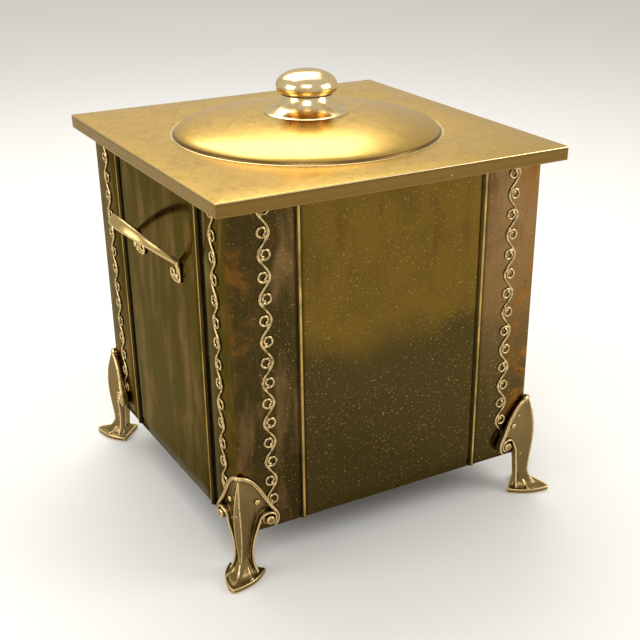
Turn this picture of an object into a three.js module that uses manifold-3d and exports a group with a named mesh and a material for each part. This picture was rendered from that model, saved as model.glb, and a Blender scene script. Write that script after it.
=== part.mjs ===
// Square lidded coal box in sheet brass, standing on four cast corner feet.
// Millimetres, +Z up. The origin is on the floor under the middle of the box,
// the front face looks along -Y and the two handles are on the -X and +X sides.

import * as THREE from 'three';
import { mergeVertices } from 'three/addons/utils/BufferGeometryUtils.js';
import Module from 'manifold-3d';

const wasm = await Module();
wasm.setup();

// ---------------------------------------------------------------- driving dimensions

const SEAT_GAP = 0.3;            // left between a piece and what carries it
const CORNER_STEPS = 2;          // facets round each folded corner

// Body: one sheet folded round four corners, hemmed at the top
const BODY_SIDE = 327;
const BODY_HEIGHT = 325.2;
const BODY_SHEET = 1;
const BODY_CORNER_RADIUS = 4.5;
const HEM_DEPTH = 10;
const HEM_SHEET = 1;
const BEAD_INSET = 65.5;         // from a body corner to the middle of its bead
const BEAD_WIDTH = 5.4;
const BEAD_RISE = 2.3;

// Base tray, soldered inside the foot of the body
const BASE_SHEET = 1.2;
const BASE_FLANGE = 12;
const BASE_RECESS = 3;           // from the body's lower edge up to the tray

// Lift-out liner
const LINER_CLEARANCE = 2.95;    // from the liner's rim to the body's mouth
const LINER_SHEET = 0.9;
const LINER_CORNER_RADIUS = 8;
const LINER_RIM = 4;             // thickness of the wired rim
const LINER_HEAD_ROOM = 2;       // from the liner's rim up to the lid's hoop
const FINGER_SLOT_LENGTH = 96;
const FINGER_SLOT_HEIGHT = 26;
const FINGER_SLOT_DROP = 14;     // from the liner's rim down to the slot

// Lid: one pressing with a turned-down flange and a raised dome
const LID_OVERHANG = 16.5;       // all round, from the body's faces to the lid's edge
const LID_SHEET = 1.1;
const LID_FLANGE = 13;
const LID_CORNER_RADIUS = 1.6;
const DOME_RADIUS = 131;
const DOME_SHOULDER = 7;         // height of the steep edge of the dome
const DOME_SHOULDER_WIDTH = 12;
const DOME_RISE = 18.5;
const DOME_FACETS = 32;
const HOOP_DEPTH = 10;           // the hoop that keeps the lid in the body's mouth
const HOOP_SHEET = 1.2;
const HOOP_CLEARANCE = 1.2;

// Knob and its fixing
const KNOB_HEIGHT = 39.6;        // from the dome to the top of the ball
const BALL_RADIUS = 30;
const BALL_HEIGHT = 23.2;
const BALL_WIDEST = 0.35;        // share of the ball's height at which it is widest
const BALL_RIM_RADIUS = 25.6;    // the ball's lower rim, which stands out over the neck
const NECK_RADIUS = 22.4;
const SKIRT_RADIUS = 42;
const SKIRT_EDGE = 0.8;
const STUD_RADIUS = 4;
const STUD_CLEARANCE = 0.4;
const STUD_DEPTH = 20;           // how far the stud is screwed into the knob
const WASHER_RADIUS = 15;
const WASHER_SHEET = 1.6;
const NUT_RADIUS = 7.5;
const NUT_HEIGHT = 6;
const STUD_END = 2.5;            // thread showing past the nut

// Feet: cast brackets wrapped round the body's lower corners
const LEG_CLEARANCE = 44.4;      // from the floor to the body's lower edge
const FOOT_ARCH_RISE = 64.5;     // from the body's lower edge to the top of the arch
const FOOT_PLATE = 3;
const BRACKET_DROP = 12;         // how far the plates run down beside the leg
const MITRE_OVERLAP = 0.02;      // by which a foot's two halves run into each other
const STRAP_THICKNESS = 3.6;
const STRAP_DEPTH_TOP = 3.6;
const STRAP_DEPTH_END = 9.6;
const RIDGE_DEPTH_LEG = 5.4;     // the bracket's edge ridge, where it leaves the leg
const RIDGE_THICKNESS = 2.8;
const VOLUTE_RADIUS = 9.9;
const VOLUTE_DEPTH = 10.2;
const VOLUTE_INSET = 25.6;       // from the corner to the eye, along the face
const VOLUTE_RISE = 14.1;        // from the body's lower edge to the eye
const EYE_RADIUS = 4.2;
const ANKLE_HALF_WIDTH = 9.7;
const LEAF_RISE = 10.8;          // how far the leaf stands out on the corner's diagonal
const LEAF_HALF_WIDTH = 8.8;
const PAD_HALF_WIDTH = 18.5;
const PAD_TOE = 32.5;            // from the body's corner to the toe, on the diagonal
const PAD_HEEL = 10.5;
const PAD_EDGE = 4.3;

// Handles: cast bows rising at an angle from the sides
const HANDLE_SPAN = 106;
const HANDLE_REACH = 50;         // from the side of the body, along the slope of the bow
const HANDLE_SLOPE = 39;         // degrees above level
const HANDLE_DROP = 91.6;        // from the body's top down to where the bow springs
const GRIP_WIDTH = 11.4;
const GRIP_END_WIDTH = 6.4;
const GRIP_THICKNESS = 3.6;
const LUG_LENGTH = 18.5;
const LUG_WIDTH = 8.4;
const LUG_THICKNESS = 3;
const HANDLE_CURL_RADIUS = 5.4;
const HANDLE_CURL_WIRE = 2.5;
const HANDLE_CURL_INSET = 13;    // from the lug's middle to the curl's, along the side
const HANDLE_CURL_RISE = 6.4;    // from the lug's lower end up to the curl's middle

// Rivets that hold the feet and the handles
const RIVET_SHANK_RADIUS = 1.6;
const RIVET_HEAD_RADIUS = 3.1;
const RIVET_HEAD_HEIGHT = 2.1;
const RIVET_TAIL_HEIGHT = 1.4;
const RIVET_CLEARANCE = 0.3;
const FOOT_RIVET_INSET = 15.4;
const FOOT_RIVET_RISE = 33.5;    // above the body's lower edge

// Running scroll strips down both edges of every face
const SCROLL_INSET = 32;         // from a body corner to the strip's middle
const SCROLL_PITCH = 20;         // from one curl to the next
const SCROLL_SWAY = 5.2;
const CURL_OFFSET = 1.1;
const CURL_RADIUS = 4.7;
const CURL_INNER_RADIUS = 2.2;
const CURL_TURNS = 1.02;
const SCROLL_LINE_WIDTH = 2.5;
const STEM_START = 2.6;          // from the lowest curl's middle up to the stem's end
const TURNED_STRIP_START = 18.7; // by which the turned strips' first curl lies further in
const SCROLL_RELIEF = 1.7;

// ---------------------------------------------------------------- places worked out from them

const HALF_BODY = BODY_SIDE / 2;
const BODY_BOTTOM = LEG_CLEARANCE;
const BODY_TOP = BODY_BOTTOM + BODY_HEIGHT;
const MOUTH_HALF = HALF_BODY - BODY_SHEET - HEM_SHEET;
const LID_UNDERSIDE = BODY_TOP + SEAT_GAP;
const LID_TOP = LID_UNDERSIDE + LID_SHEET;
const HOOP_TOP = LID_UNDERSIDE - SEAT_GAP;
const HOOP_HALF = MOUTH_HALF - HOOP_CLEARANCE;
const BASE_BOTTOM = BODY_BOTTOM + BASE_RECESS;
const BASE_HALF = HALF_BODY - BODY_SHEET - SEAT_GAP;
const LID_HALF = HALF_BODY + LID_OVERHANG;
const LINER_HALF = MOUTH_HALF - LINER_CLEARANCE - (LINER_RIM - LINER_SHEET) / 2;
const LINER_BOTTOM = BASE_BOTTOM + BASE_SHEET + SEAT_GAP;
const LINER_TOP = HOOP_TOP - HOOP_DEPTH - LINER_HEAD_ROOM;
const DOME_TOP = LID_TOP + DOME_RISE;
const HANDLE_SPRING = BODY_TOP - HANDLE_DROP;
const LUG_RIVET_DROP = LUG_LENGTH * 0.62;

// ---------------------------------------------------------------- materials

function brass(name, color, roughness) {
  return new THREE.MeshStandardMaterial({ name, color, roughness, metalness: 1 });
}

const PANEL_BRASS = brass('aged_sheet_brass', 0xa8893f, 0.3);
const LID_BRASS = brass('polished_sheet_brass', 0xd9b25a, 0.25);
const CAST_BRASS = brass('cast_brass', 0xbf9a4b, 0.35);
const SCROLL_BRASS = brass('stamped_brass', 0xc9a85a, 0.35);
const LINER_STEEL = new THREE.MeshStandardMaterial({
  name: 'blacked_sheet_steel', color: 0x2b2a28, roughness: 0.7, metalness: 0.4,
});
const FIXING_STEEL = new THREE.MeshStandardMaterial({
  name: 'bright_steel', color: 0x9a9a96, roughness: 0.45, metalness: 1,
});

// ---------------------------------------------------------------- solids, joins and cuts

function solidOf(geometry) {
  const bare = new THREE.BufferGeometry();
  bare.setAttribute('position', geometry.getAttribute('position'));
  if (geometry.index) bare.setIndex(geometry.index);
  const merged = mergeVertices(bare, 1e-4);
  return new wasm.Manifold(new wasm.Mesh({
    numProp: 3,
    vertProperties: new Float32Array(merged.getAttribute('position').array),
    triVerts: new Uint32Array(merged.index.array),
  }));
}

function geometryOf(solid) {
  const mesh = solid.getMesh();
  const geometry = new THREE.BufferGeometry();
  geometry.setAttribute('position', new THREE.BufferAttribute(mesh.vertProperties, 3));
  geometry.setIndex(new THREE.BufferAttribute(mesh.triVerts, 1));
  geometry.computeVertexNormals();
  return geometry;
}

function join(geometries) {
  return geometries.map(solidOf).reduce((whole, piece) => whole.add(piece));
}

function cut(solid, geometries) {
  return geometries.map(solidOf).reduce((whole, tool) => whole.subtract(tool), solid);
}

// A closed skin over rings that hold the same number of [x, y, z] points each.
function loft(rings, closed = false) {
  const count = rings[0].length;
  const positions = rings.flat(2);
  const index = [];
  const spans = closed ? rings.length : rings.length - 1;
  for (let r = 0; r < spans; r += 1) {
    const low = r * count;
    const high = ((r + 1) % rings.length) * count;
    for (let i = 0; i < count; i += 1) {
      const j = (i + 1) % count;
      index.push(low + i, low + j, high + j, low + i, high + j, high + i);
    }
  }
  if (!closed) {
    const last = (rings.length - 1) * count;
    for (let i = 1; i < count - 1; i += 1) {
      index.push(0, i + 1, i);
      index.push(last, last + i, last + i + 1);
    }
  }
  const geometry = new THREE.BufferGeometry();
  geometry.setAttribute('position', new THREE.Float32BufferAttribute(positions, 3));
  geometry.setIndex(index);
  return signedVolume(geometry) < 0 ? turnedInsideOut(geometry) : geometry;
}

function signedVolume(geometry) {
  const point = geometry.getAttribute('position');
  const index = geometry.index.array;
  const [a, b, c] = [new THREE.Vector3(), new THREE.Vector3(), new THREE.Vector3()];
  let volume = 0;
  for (let i = 0; i < index.length; i += 3) {
    a.fromBufferAttribute(point, index[i]);
    b.fromBufferAttribute(point, index[i + 1]);
    c.fromBufferAttribute(point, index[i + 2]);
    volume += a.dot(b.cross(c)) / 6;
  }
  return volume;
}

function turnedInsideOut(geometry) {
  geometry.setIndex(Array.from(geometry.index.array).reverse());
  return geometry;
}

// The same form on the other face of a corner: x and y change places.
function swappedAcrossCorner(geometry) {
  const swapped = mergeVertices(positionsOnly(geometry), 1e-4);
  const point = swapped.getAttribute('position');
  for (let i = 0; i < point.count; i += 1) {
    point.setXY(i, point.getY(i), point.getX(i));
  }
  return turnedInsideOut(swapped);
}

function positionsOnly(geometry) {
  const bare = new THREE.BufferGeometry();
  bare.setAttribute('position', geometry.getAttribute('position').clone());
  if (geometry.index) bare.setIndex(geometry.index.clone());
  return bare;
}

function extruded(shape, depth, curveSegments = 2) {
  return new THREE.ExtrudeGeometry(shape, { depth, bevelEnabled: false, curveSegments });
}

// A shape drawn as (along the face, height) raised from one depth to another, out of a -Y face.
function raisedFromFace(shape, from, to, curveSegments = 2) {
  return extruded(shape, to - from, curveSegments)
    .translate(0, 0, from)
    .rotateX(Math.PI / 2);
}

function lathed(profile, segments) {
  const points = profile.map(([radius, height]) => new THREE.Vector2(radius, height));
  return new THREE.LatheGeometry(points, segments).rotateX(Math.PI / 2);
}

function box(width, depth, height) {
  return new THREE.BoxGeometry(width, depth, height);
}

function smoothCurve(points, steps) {
  const curve = new THREE.SplineCurve(points.map(([x, y]) => new THREE.Vector2(x, y)));
  return curve.getPoints(steps).map((point) => [point.x, point.y]);
}

// ---------------------------------------------------------------- square sheet-metal forms

function arcPoints(centreX, centreY, radius, from, to, steps) {
  const points = [];
  for (let i = 0; i <= steps; i += 1) {
    const angle = THREE.MathUtils.lerp(from, to, i / steps);
    points.push([centreX + radius * Math.cos(angle), centreY + radius * Math.sin(angle)]);
  }
  return points;
}

function pathThrough(points, PathClass = THREE.Shape) {
  return new PathClass(points.map(([x, y]) => new THREE.Vector2(x, y)));
}

function roundedSquare(half, radius, PathClass = THREE.Shape) {
  const points = [];
  for (let corner = 0; corner < 4; corner += 1) {
    const middle = Math.PI / 4 + corner * Math.PI / 2;
    const [sx, sy] = [Math.sign(Math.cos(middle)), Math.sign(Math.sin(middle))];
    points.push(...arcPoints(sx * (half - radius), sy * (half - radius), radius,
      middle - Math.PI / 4, middle + Math.PI / 4, CORNER_STEPS));
  }
  return pathThrough(points, PathClass);
}

function squareRing(outerHalf, outerRadius, thickness, depth, bottom) {
  const shape = roundedSquare(outerHalf, outerRadius);
  const innerRadius = Math.max(outerRadius - thickness, 0.2);
  shape.holes.push(roundedSquare(outerHalf - thickness, innerRadius, THREE.Path));
  return extruded(shape, depth).translate(0, 0, bottom);
}

function squarePlate(half, radius, thickness, bottom) {
  return extruded(roundedSquare(half, radius), thickness).translate(0, 0, bottom);
}

// The body's outline in plan: four flat faces, each with two raised beads.
function beadedSquare(half, radius, beadHalf, PathClass = THREE.Shape) {
  const beadOffset = HALF_BODY - BEAD_INSET;
  const points = [];
  for (let face = 0; face < 4; face += 1) {
    const turn = face * Math.PI / 2;
    for (const bead of [-beadOffset, beadOffset]) {
      for (const [step, rise] of [[-1, 0], [-0.6, 0.85], [0.6, 0.85], [1, 0]]) {
        const along = bead + step * beadHalf;
        const out = half + rise * BEAD_RISE;
        points.push([
          along * Math.cos(turn) + out * Math.sin(turn),
          along * Math.sin(turn) - out * Math.cos(turn),
        ]);
      }
    }
    const middle = turn - Math.PI / 4;
    const [sx, sy] = [Math.sign(Math.cos(middle)), Math.sign(Math.sin(middle))];
    points.push(...arcPoints(sx * (half - radius), sy * (half - radius), radius,
      middle - Math.PI / 4, middle + Math.PI / 4, CORNER_STEPS));
  }
  return pathThrough(points, PathClass);
}

// ---------------------------------------------------------------- rivets

// Where a rivet goes: its place on the outer surface of the body and the way its head looks.
const footRivets = [];
const handleRivets = [];

function rivetGeometry(grip) {
  const outer = grip + SEAT_GAP;
  const inner = -BODY_SHEET - SEAT_GAP;
  return lathed([
    [0, inner - RIVET_TAIL_HEIGHT],
    [RIVET_HEAD_RADIUS * 0.9, inner],
    [RIVET_SHANK_RADIUS, inner],
    [RIVET_SHANK_RADIUS, outer],
    [RIVET_HEAD_RADIUS, outer],
    [RIVET_HEAD_RADIUS * 0.7, outer + RIVET_HEAD_HEIGHT * 0.75],
    [0, outer + RIVET_HEAD_HEIGHT],
  ], 6);
}

function rivetHole(outwardDepth) {
  const radius = RIVET_SHANK_RADIUS + RIVET_CLEARANCE;
  const length = outwardDepth + BODY_SHEET * 4;
  return new THREE.CylinderGeometry(radius, radius, length, 6).rotateX(Math.PI / 2)
    .translate(0, 0, (outwardDepth - BODY_SHEET * 4) / 2);
}

// Turns a form whose axis is +Z so that it looks out of a side of the body.
function facing(geometry, place, outwardAngle) {
  return geometry.rotateY(Math.PI / 2).rotateZ(outwardAngle).translate(...place);
}

const CORNERS = [
  { name: 'front_left', sx: -1, sy: -1, turn: 0 },
  { name: 'front_right', sx: 1, sy: -1, turn: Math.PI / 2 },
  { name: 'rear_right', sx: 1, sy: 1, turn: Math.PI },
  { name: 'rear_left', sx: -1, sy: 1, turn: -Math.PI / 2 },
];

const SIDES = [
  { name: 'left', sx: -1, turn: Math.PI },
  { name: 'right', sx: 1, turn: 0 },
];

for (const corner of CORNERS) {
  const along = HALF_BODY - FOOT_RIVET_INSET;
  const height = BODY_BOTTOM + FOOT_RIVET_RISE;
  footRivets.push({
    name: `rivet_foot_${corner.name}_a`,
    place: [corner.sx * along, corner.sy * HALF_BODY, height],
    angle: corner.sy * Math.PI / 2,
  });
  footRivets.push({
    name: `rivet_foot_${corner.name}_b`,
    place: [corner.sx * HALF_BODY, corner.sy * along, height],
    angle: corner.sx > 0 ? 0 : Math.PI,
  });
}

for (const side of SIDES) {
  for (const [end, sy] of [['front', -1], ['rear', 1]]) {
    handleRivets.push({
      name: `rivet_handle_${side.name}_${end}`,
      place: [side.sx * HALF_BODY, sy * HANDLE_SPAN / 2, HANDLE_SPRING - LUG_RIVET_DROP],
      angle: side.turn,
    });
  }
}

// ---------------------------------------------------------------- body, base and liner

function bodyShell() {
  const outline = beadedSquare(HALF_BODY, BODY_CORNER_RADIUS, BEAD_WIDTH / 2);
  outline.holes.push(beadedSquare(HALF_BODY - BODY_SHEET, BODY_CORNER_RADIUS - BODY_SHEET,
    BEAD_WIDTH / 2 - BODY_SHEET * 0.6, THREE.Path));
  const wall = extruded(outline, BODY_HEIGHT).translate(0, 0, BODY_BOTTOM);
  const hemHalf = HALF_BODY - BODY_SHEET / 2;
  const hem = squareRing(hemHalf, BODY_CORNER_RADIUS - BODY_SHEET / 2,
    BODY_SHEET / 2 + HEM_SHEET, HEM_DEPTH, BODY_TOP - HEM_DEPTH);
  const holes = [...footRivets, ...handleRivets]
    .map((rivet) => facing(rivetHole(BODY_SHEET * 2), rivet.place, rivet.angle));
  return geometryOf(cut(join([wall, hem]), holes));
}

function baseTray() {
  const radius = BODY_CORNER_RADIUS - BODY_SHEET - SEAT_GAP;
  const floor = squarePlate(BASE_HALF, radius, BASE_SHEET, BASE_BOTTOM);
  const flange = squareRing(BASE_HALF, radius, BASE_SHEET, BASE_FLANGE, BASE_BOTTOM);
  return geometryOf(join([floor, flange]));
}

function fingerSlot() {
  const half = FINGER_SLOT_LENGTH / 2 - FINGER_SLOT_HEIGHT / 2;
  const radius = FINGER_SLOT_HEIGHT / 2;
  const shape = new THREE.Shape();
  shape.absarc(half, 0, radius, -Math.PI / 2, Math.PI / 2);
  shape.absarc(-half, 0, radius, Math.PI / 2, Math.PI * 1.5);
  shape.closePath();
  const height = LINER_TOP - FINGER_SLOT_DROP - FINGER_SLOT_HEIGHT / 2;
  return raisedFromFace(shape, -BODY_SIDE, BODY_SIDE, 3)
    .rotateZ(Math.PI / 2)
    .translate(0, 0, height);
}

function liner() {
  const half = LINER_HALF;
  const height = LINER_TOP - LINER_BOTTOM;
  const floor = squarePlate(half, LINER_CORNER_RADIUS, LINER_SHEET, LINER_BOTTOM);
  const wall = squareRing(half, LINER_CORNER_RADIUS, LINER_SHEET, height, LINER_BOTTOM);
  const rimOverhang = LINER_RIM - LINER_SHEET;
  const rim = squareRing(half + rimOverhang / 2, LINER_CORNER_RADIUS + rimOverhang / 2,
    LINER_RIM / 2 + LINER_SHEET, LINER_RIM, LINER_TOP - LINER_RIM);
  return geometryOf(cut(join([floor, wall, rim]), [fingerSlot()]));
}

// ---------------------------------------------------------------- lid and knob

// The dome's outer surface from its edge in to the knob, as [radius, height above the flat].
function domeProfile() {
  const shoulder = [[0, 0], [0.18, 0.42], [0.5, 0.78], [1, 1]];
  const crown = [[0.78, 0.42], [0.62, 0.72], [0.47, 0.86]];
  return [
    ...shoulder.map(([inset, share]) => [
      DOME_RADIUS - DOME_SHOULDER_WIDTH * inset, DOME_SHOULDER * share]),
    ...crown.map(([share, rise]) => [
      DOME_RADIUS * share, THREE.MathUtils.lerp(DOME_SHOULDER, DOME_RISE, rise)]),
    [SKIRT_RADIUS, DOME_RISE],
  ];
}

function lidPressing() {
  const top = roundedSquare(LID_HALF, LID_CORNER_RADIUS);
  const mouth = new THREE.Path();
  mouth.absarc(0, 0, DOME_RADIUS - LID_SHEET, 0, Math.PI * 2);
  top.holes.push(mouth);
  const flat = extruded(top, LID_SHEET, DOME_FACETS / 2).translate(0, 0, LID_UNDERSIDE);
  const flange = squareRing(LID_HALF, LID_CORNER_RADIUS, LID_SHEET, LID_FLANGE,
    LID_TOP - LID_FLANGE);
  const bore = STUD_RADIUS + STUD_CLEARANCE;
  const outer = [...domeProfile(), [bore, DOME_RISE]];
  const inner = outer.filter((point, i) => i % 2 === 0).map(([radius, height]) => [
    radius === bore ? bore : radius - LID_SHEET * 0.5,
    height - LID_SHEET,
  ]).reverse();
  const ring = [...outer, ...inner, outer[0]]
    .map(([radius, height]) => [radius, LID_TOP + height]);
  return geometryOf(join([flat, flange, lathed(ring, DOME_FACETS)]));
}

function lidHoop() {
  const radius = BODY_CORNER_RADIUS - BODY_SHEET;
  return squareRing(HOOP_HALF, radius, HOOP_SHEET, HOOP_DEPTH, HOOP_TOP - HOOP_DEPTH);
}

function knob() {
  const foot = DOME_TOP + SEAT_GAP;
  const top = DOME_TOP + KNOB_HEIGHT;
  const bore = STUD_RADIUS + STUD_CLEARANCE;
  const ballBottom = top - BALL_HEIGHT;
  const ballMiddle = ballBottom + BALL_HEIGHT * BALL_WIDEST;
  const outline = [
    [bore, foot + STUD_DEPTH], [bore, foot], [SKIRT_RADIUS, foot],
    [SKIRT_RADIUS, foot + SKIRT_EDGE],
  ];
  for (const [spread, rise] of [[0.58, 0.16], [0.28, 0.42], [0.08, 0.74], [0, 1]]) {
    outline.push([
      THREE.MathUtils.lerp(NECK_RADIUS, SKIRT_RADIUS, spread),
      THREE.MathUtils.lerp(foot, ballBottom, rise),
    ]);
  }
  outline.push([BALL_RIM_RADIUS, ballBottom + SKIRT_EDGE]);
  for (const degrees of [-50, -24, 0, 28, 52, 74]) {
    const angle = THREE.MathUtils.degToRad(degrees);
    const rise = degrees < 0 ? ballMiddle - ballBottom : top - ballMiddle;
    const fullness = degrees < 0 ? 0.26 : 0.8;
    outline.push([
      BALL_RADIUS * Math.cos(angle) ** fullness,
      ballMiddle + rise * Math.sin(angle),
    ]);
  }
  outline.push([0, top], [0, foot + STUD_DEPTH], outline[0]);
  return lathed(outline, 20);
}

function knobStud() {
  const end = DOME_TOP - LID_SHEET - SEAT_GAP - WASHER_SHEET - SEAT_GAP - NUT_HEIGHT - STUD_END;
  const head = DOME_TOP + STUD_DEPTH;
  return new THREE.CylinderGeometry(STUD_RADIUS, STUD_RADIUS, head - end, 10)
    .rotateX(Math.PI / 2)
    .translate(0, 0, (head + end) / 2);
}

function knobWasher() {
  const bore = STUD_RADIUS + STUD_CLEARANCE;
  const top = DOME_TOP - LID_SHEET - SEAT_GAP;
  return lathed([
    [bore, top - WASHER_SHEET], [WASHER_RADIUS, top - WASHER_SHEET], [WASHER_RADIUS, top],
    [bore, top], [bore, top - WASHER_SHEET],
  ], 12);
}

function knobNut() {
  const hexagon = pathThrough(arcPoints(0, 0, NUT_RADIUS, 0, Math.PI * 5 / 3, 5));
  const bore = new THREE.Path();
  bore.absarc(0, 0, STUD_RADIUS + STUD_CLEARANCE, 0, Math.PI * 2);
  hexagon.holes.push(bore);
  const top = DOME_TOP - LID_SHEET - WASHER_SHEET - SEAT_GAP * 2;
  return extruded(hexagon, NUT_HEIGHT, 6).translate(0, 0, top - NUT_HEIGHT);
}

// ---------------------------------------------------------------- feet

// A foot is drawn with the body's corner at the origin and the body in +X +Y, so that
// u runs along the front face and the diagonal out of the corner is (-1, -1).
// A point on the diagonal frame has w across the diagonal and d outwards along it.
function fromDiagonal(w, d, z) {
  return [(w - d) * Math.SQRT1_2, -(w + d) * Math.SQRT1_2, z];
}

const ARCH_STEPS = 6;
const BRACKET_STEPS = 4;
const EYE_HEIGHT = BODY_BOTTOM + VOLUTE_RISE;
const ARCH_TOP = BODY_BOTTOM + FOOT_ARCH_RISE;

// The outer edge of the arch as [along the face, height]: down from the corner and over the
// outer side of the volute.
function archEdge(steps) {
  const shoulderInset = VOLUTE_INSET + 1.6;
  const shoulder = EYE_HEIGHT + VOLUTE_RADIUS + 3.6;
  const fall = ARCH_TOP - shoulder;
  return smoothCurve([
    [0, ARCH_TOP],
    [shoulderInset * 0.2, ARCH_TOP - fall * 0.08],
    [shoulderInset * 0.46, ARCH_TOP - fall * 0.3],
    [shoulderInset * 0.8, ARCH_TOP - fall * 0.69],
    [shoulderInset, shoulder],
    [VOLUTE_INSET + VOLUTE_RADIUS * 0.82, EYE_HEIGHT + VOLUTE_RADIUS * 0.76],
    [VOLUTE_INSET + VOLUTE_RADIUS + 0.5, EYE_HEIGHT + 1],
  ], steps);
}

// The lower edge of the bracket, from the leg up to the top of the volute.
function bracketEdge(steps) {
  return smoothCurve([
    [ANKLE_HALF_WIDTH - 0.2, BODY_BOTTOM - BRACKET_DROP],
    [ANKLE_HALF_WIDTH + 2.6, BODY_BOTTOM + 1],
    [VOLUTE_INSET - VOLUTE_RADIUS - 0.8, EYE_HEIGHT - 1],
    [VOLUTE_INSET - VOLUTE_RADIUS * 0.62, EYE_HEIGHT + VOLUTE_RADIUS * 0.62],
    [VOLUTE_INSET, EYE_HEIGHT + VOLUTE_RADIUS - 0.6],
  ], steps);
}

function sidePlate() {
  const arch = archEdge(ARCH_STEPS);
  const lower = bracketEdge(BRACKET_STEPS);
  const shape = new THREE.Shape();
  shape.moveTo(-FOOT_PLATE - 1, ARCH_TOP - STRAP_THICKNESS / 2);
  for (const [u, z] of arch) shape.lineTo(u, z - STRAP_THICKNESS / 2);
  for (const [u, z] of [...lower].reverse()) shape.lineTo(u - 1, z);
  shape.lineTo(-FOOT_PLATE - 1, BODY_BOTTOM - BRACKET_DROP);
  shape.closePath();
  return raisedFromFace(shape, SEAT_GAP, FOOT_PLATE);
}

// Offsets a run of [u, z] points to one side by a distance.
function offsetRun(points, distance) {
  return points.map(([u, z], i) => {
    const [au, az] = points[Math.max(i - 1, 0)];
    const [bu, bz] = points[Math.min(i + 1, points.length - 1)];
    const length = Math.hypot(bu - au, bz - az);
    return [u + (az - bz) / length * distance, z + (bu - au) / length * distance];
  });
}

// A strip that follows a run of [u, z] points on the face and stands out of it by depths[i].
function faceStrip(outerRun, thickness, depths) {
  const innerRun = offsetRun(outerRun, -thickness);
  return loft(outerRun.map(([u, z], i) => {
    const [iu, iz] = innerRun[i];
    return [
      [u, -SEAT_GAP, z], [u, -depths[i], z], [iu, -depths[i], iz], [iu, -SEAT_GAP, iz],
    ];
  }));
}

function archStrap() {
  const run = [[-STRAP_DEPTH_END, ARCH_TOP], ...archEdge(ARCH_STEPS)];
  const depths = run.map((point, i) => THREE.MathUtils.lerp(
    STRAP_DEPTH_TOP, STRAP_DEPTH_END, (Math.max(i - 1, 0) / ARCH_STEPS) ** 1.3));
  return faceStrip(run, STRAP_THICKNESS, depths);
}

function bracketRidge() {
  const run = bracketEdge(BRACKET_STEPS);
  const depths = run.map((point, i) => (
    THREE.MathUtils.lerp(RIDGE_DEPTH_LEG, VOLUTE_DEPTH - 0.4, i / BRACKET_STEPS)));
  return faceStrip(run, -RIDGE_THICKNESS, depths);
}

function volute() {
  const lip = VOLUTE_RADIUS * 0.7;
  const recess = VOLUTE_DEPTH * 0.68;
  return lathed([
    [0, SEAT_GAP], [VOLUTE_RADIUS, SEAT_GAP], [VOLUTE_RADIUS, VOLUTE_DEPTH],
    [lip, VOLUTE_DEPTH], [EYE_RADIUS, recess],
    [EYE_RADIUS * 0.8, VOLUTE_DEPTH + 0.4], [0, VOLUTE_DEPTH + 0.9],
  ], 10).rotateX(Math.PI / 2).translate(VOLUTE_INSET, 0, EYE_HEIGHT);
}

// The leaf on the corner: a narrow front facet from the top of the arch down into the leg.
function leaf() {
  const top = ARCH_TOP - STRAP_THICKNESS * 0.6;
  const height = top - BODY_BOTTOM;
  // share of the way down, of the full half width and of the full rise
  const stations = [
    [0, 0.3, 0.22], [0.14, 0.42, 0.6], [0.36, 0.92, 0.86], [0.55, 1, 1],
    [0.72, 0.9, 1], [0.88, 0.72, 0.9], [1.08, 0.5, 0.74], [1.34, 0.12, 0.42],
  ];
  return loft(stations.map(([down, widthShare, riseShare]) => {
    const z = top - height * down;
    const w = LEAF_HALF_WIDTH * widthShare;
    const rise = LEAF_RISE * riseShare;
    const edge = (FOOT_PLATE - 0.6) * Math.SQRT2 - w;
    return [
      fromDiagonal(0, rise, z),
      fromDiagonal(w * 0.48, rise - 0.3, z),
      fromDiagonal(w, edge, z),
      fromDiagonal(w * 0.6, -w * 0.6 - 2, z),
      fromDiagonal(-w * 0.6, -w * 0.6 - 2, z),
      fromDiagonal(-w, edge, z),
      fromDiagonal(-w * 0.48, rise - 0.3, z),
    ];
  }));
}

// The fluted leg: a centre rib between two grooves and two edge ridges.
function leg() {
  const clearance = LEG_CLEARANCE;
  const stations = [
    // height, half width, rib, edge and back on the diagonal
    [PAD_EDGE - 1, 1.5, 13.5, 3, PAD_HEEL - 1],
    [clearance * 0.22, 1.14, 9, 0.5, 9.2],
    [clearance * 0.36, 1.02, 6.4, -0.6, 8.4],
    [clearance * 0.6, 1, 5.4, -0.8, 8.2],
    [clearance * 0.82, 1.12, 7.2, -2, 9.4],
    [clearance * 0.993, 1.36, 9, -4.2, 11.4],
    [EYE_HEIGHT + 8, 1.36, 9.6, -5, 11.4],
  ];
  return loft(stations.map(([z, widthShare, rib, edge, back]) => {
    const w = ANKLE_HALF_WIDTH * widthShare;
    const right = [
      [w * 0.4, edge + (rib - edge) * 0.4],
      [w * 0.74, edge + 2.2],
      [w, edge],
      [w * 0.66, -back],
    ];
    const left = [...right].reverse().map(([across, d]) => [-across, d]);
    return [[0, rib], ...right, ...left].map(([across, d]) => fromDiagonal(across, d, z));
  }));
}

function pad() {
  const outline = new THREE.Shape();
  outline.moveTo(-PAD_HALF_WIDTH, -PAD_HEEL);
  outline.lineTo(PAD_HALF_WIDTH, -PAD_HEEL);
  outline.quadraticCurveTo(PAD_HALF_WIDTH * 1.04, PAD_TOE * 0.56, 2.4, PAD_TOE - 0.6);
  outline.lineTo(-2.4, PAD_TOE - 0.6);
  outline.quadraticCurveTo(-PAD_HALF_WIDTH * 1.04, PAD_TOE * 0.56, -PAD_HALF_WIDTH, -PAD_HEEL);
  const points = outline.getPoints(5).slice(0, -1);
  const levels = [[1, 0], [1, PAD_EDGE], [0.93, PAD_EDGE + 1.1], [0.66, PAD_EDGE + 4.2],
    [0.44, PAD_EDGE + 8.2]];
  return loft(levels.map(([share, z]) => points.map((point) => (
    fromDiagonal(point.x * share, point.y * share + (1 - share), z)))));
}

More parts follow.
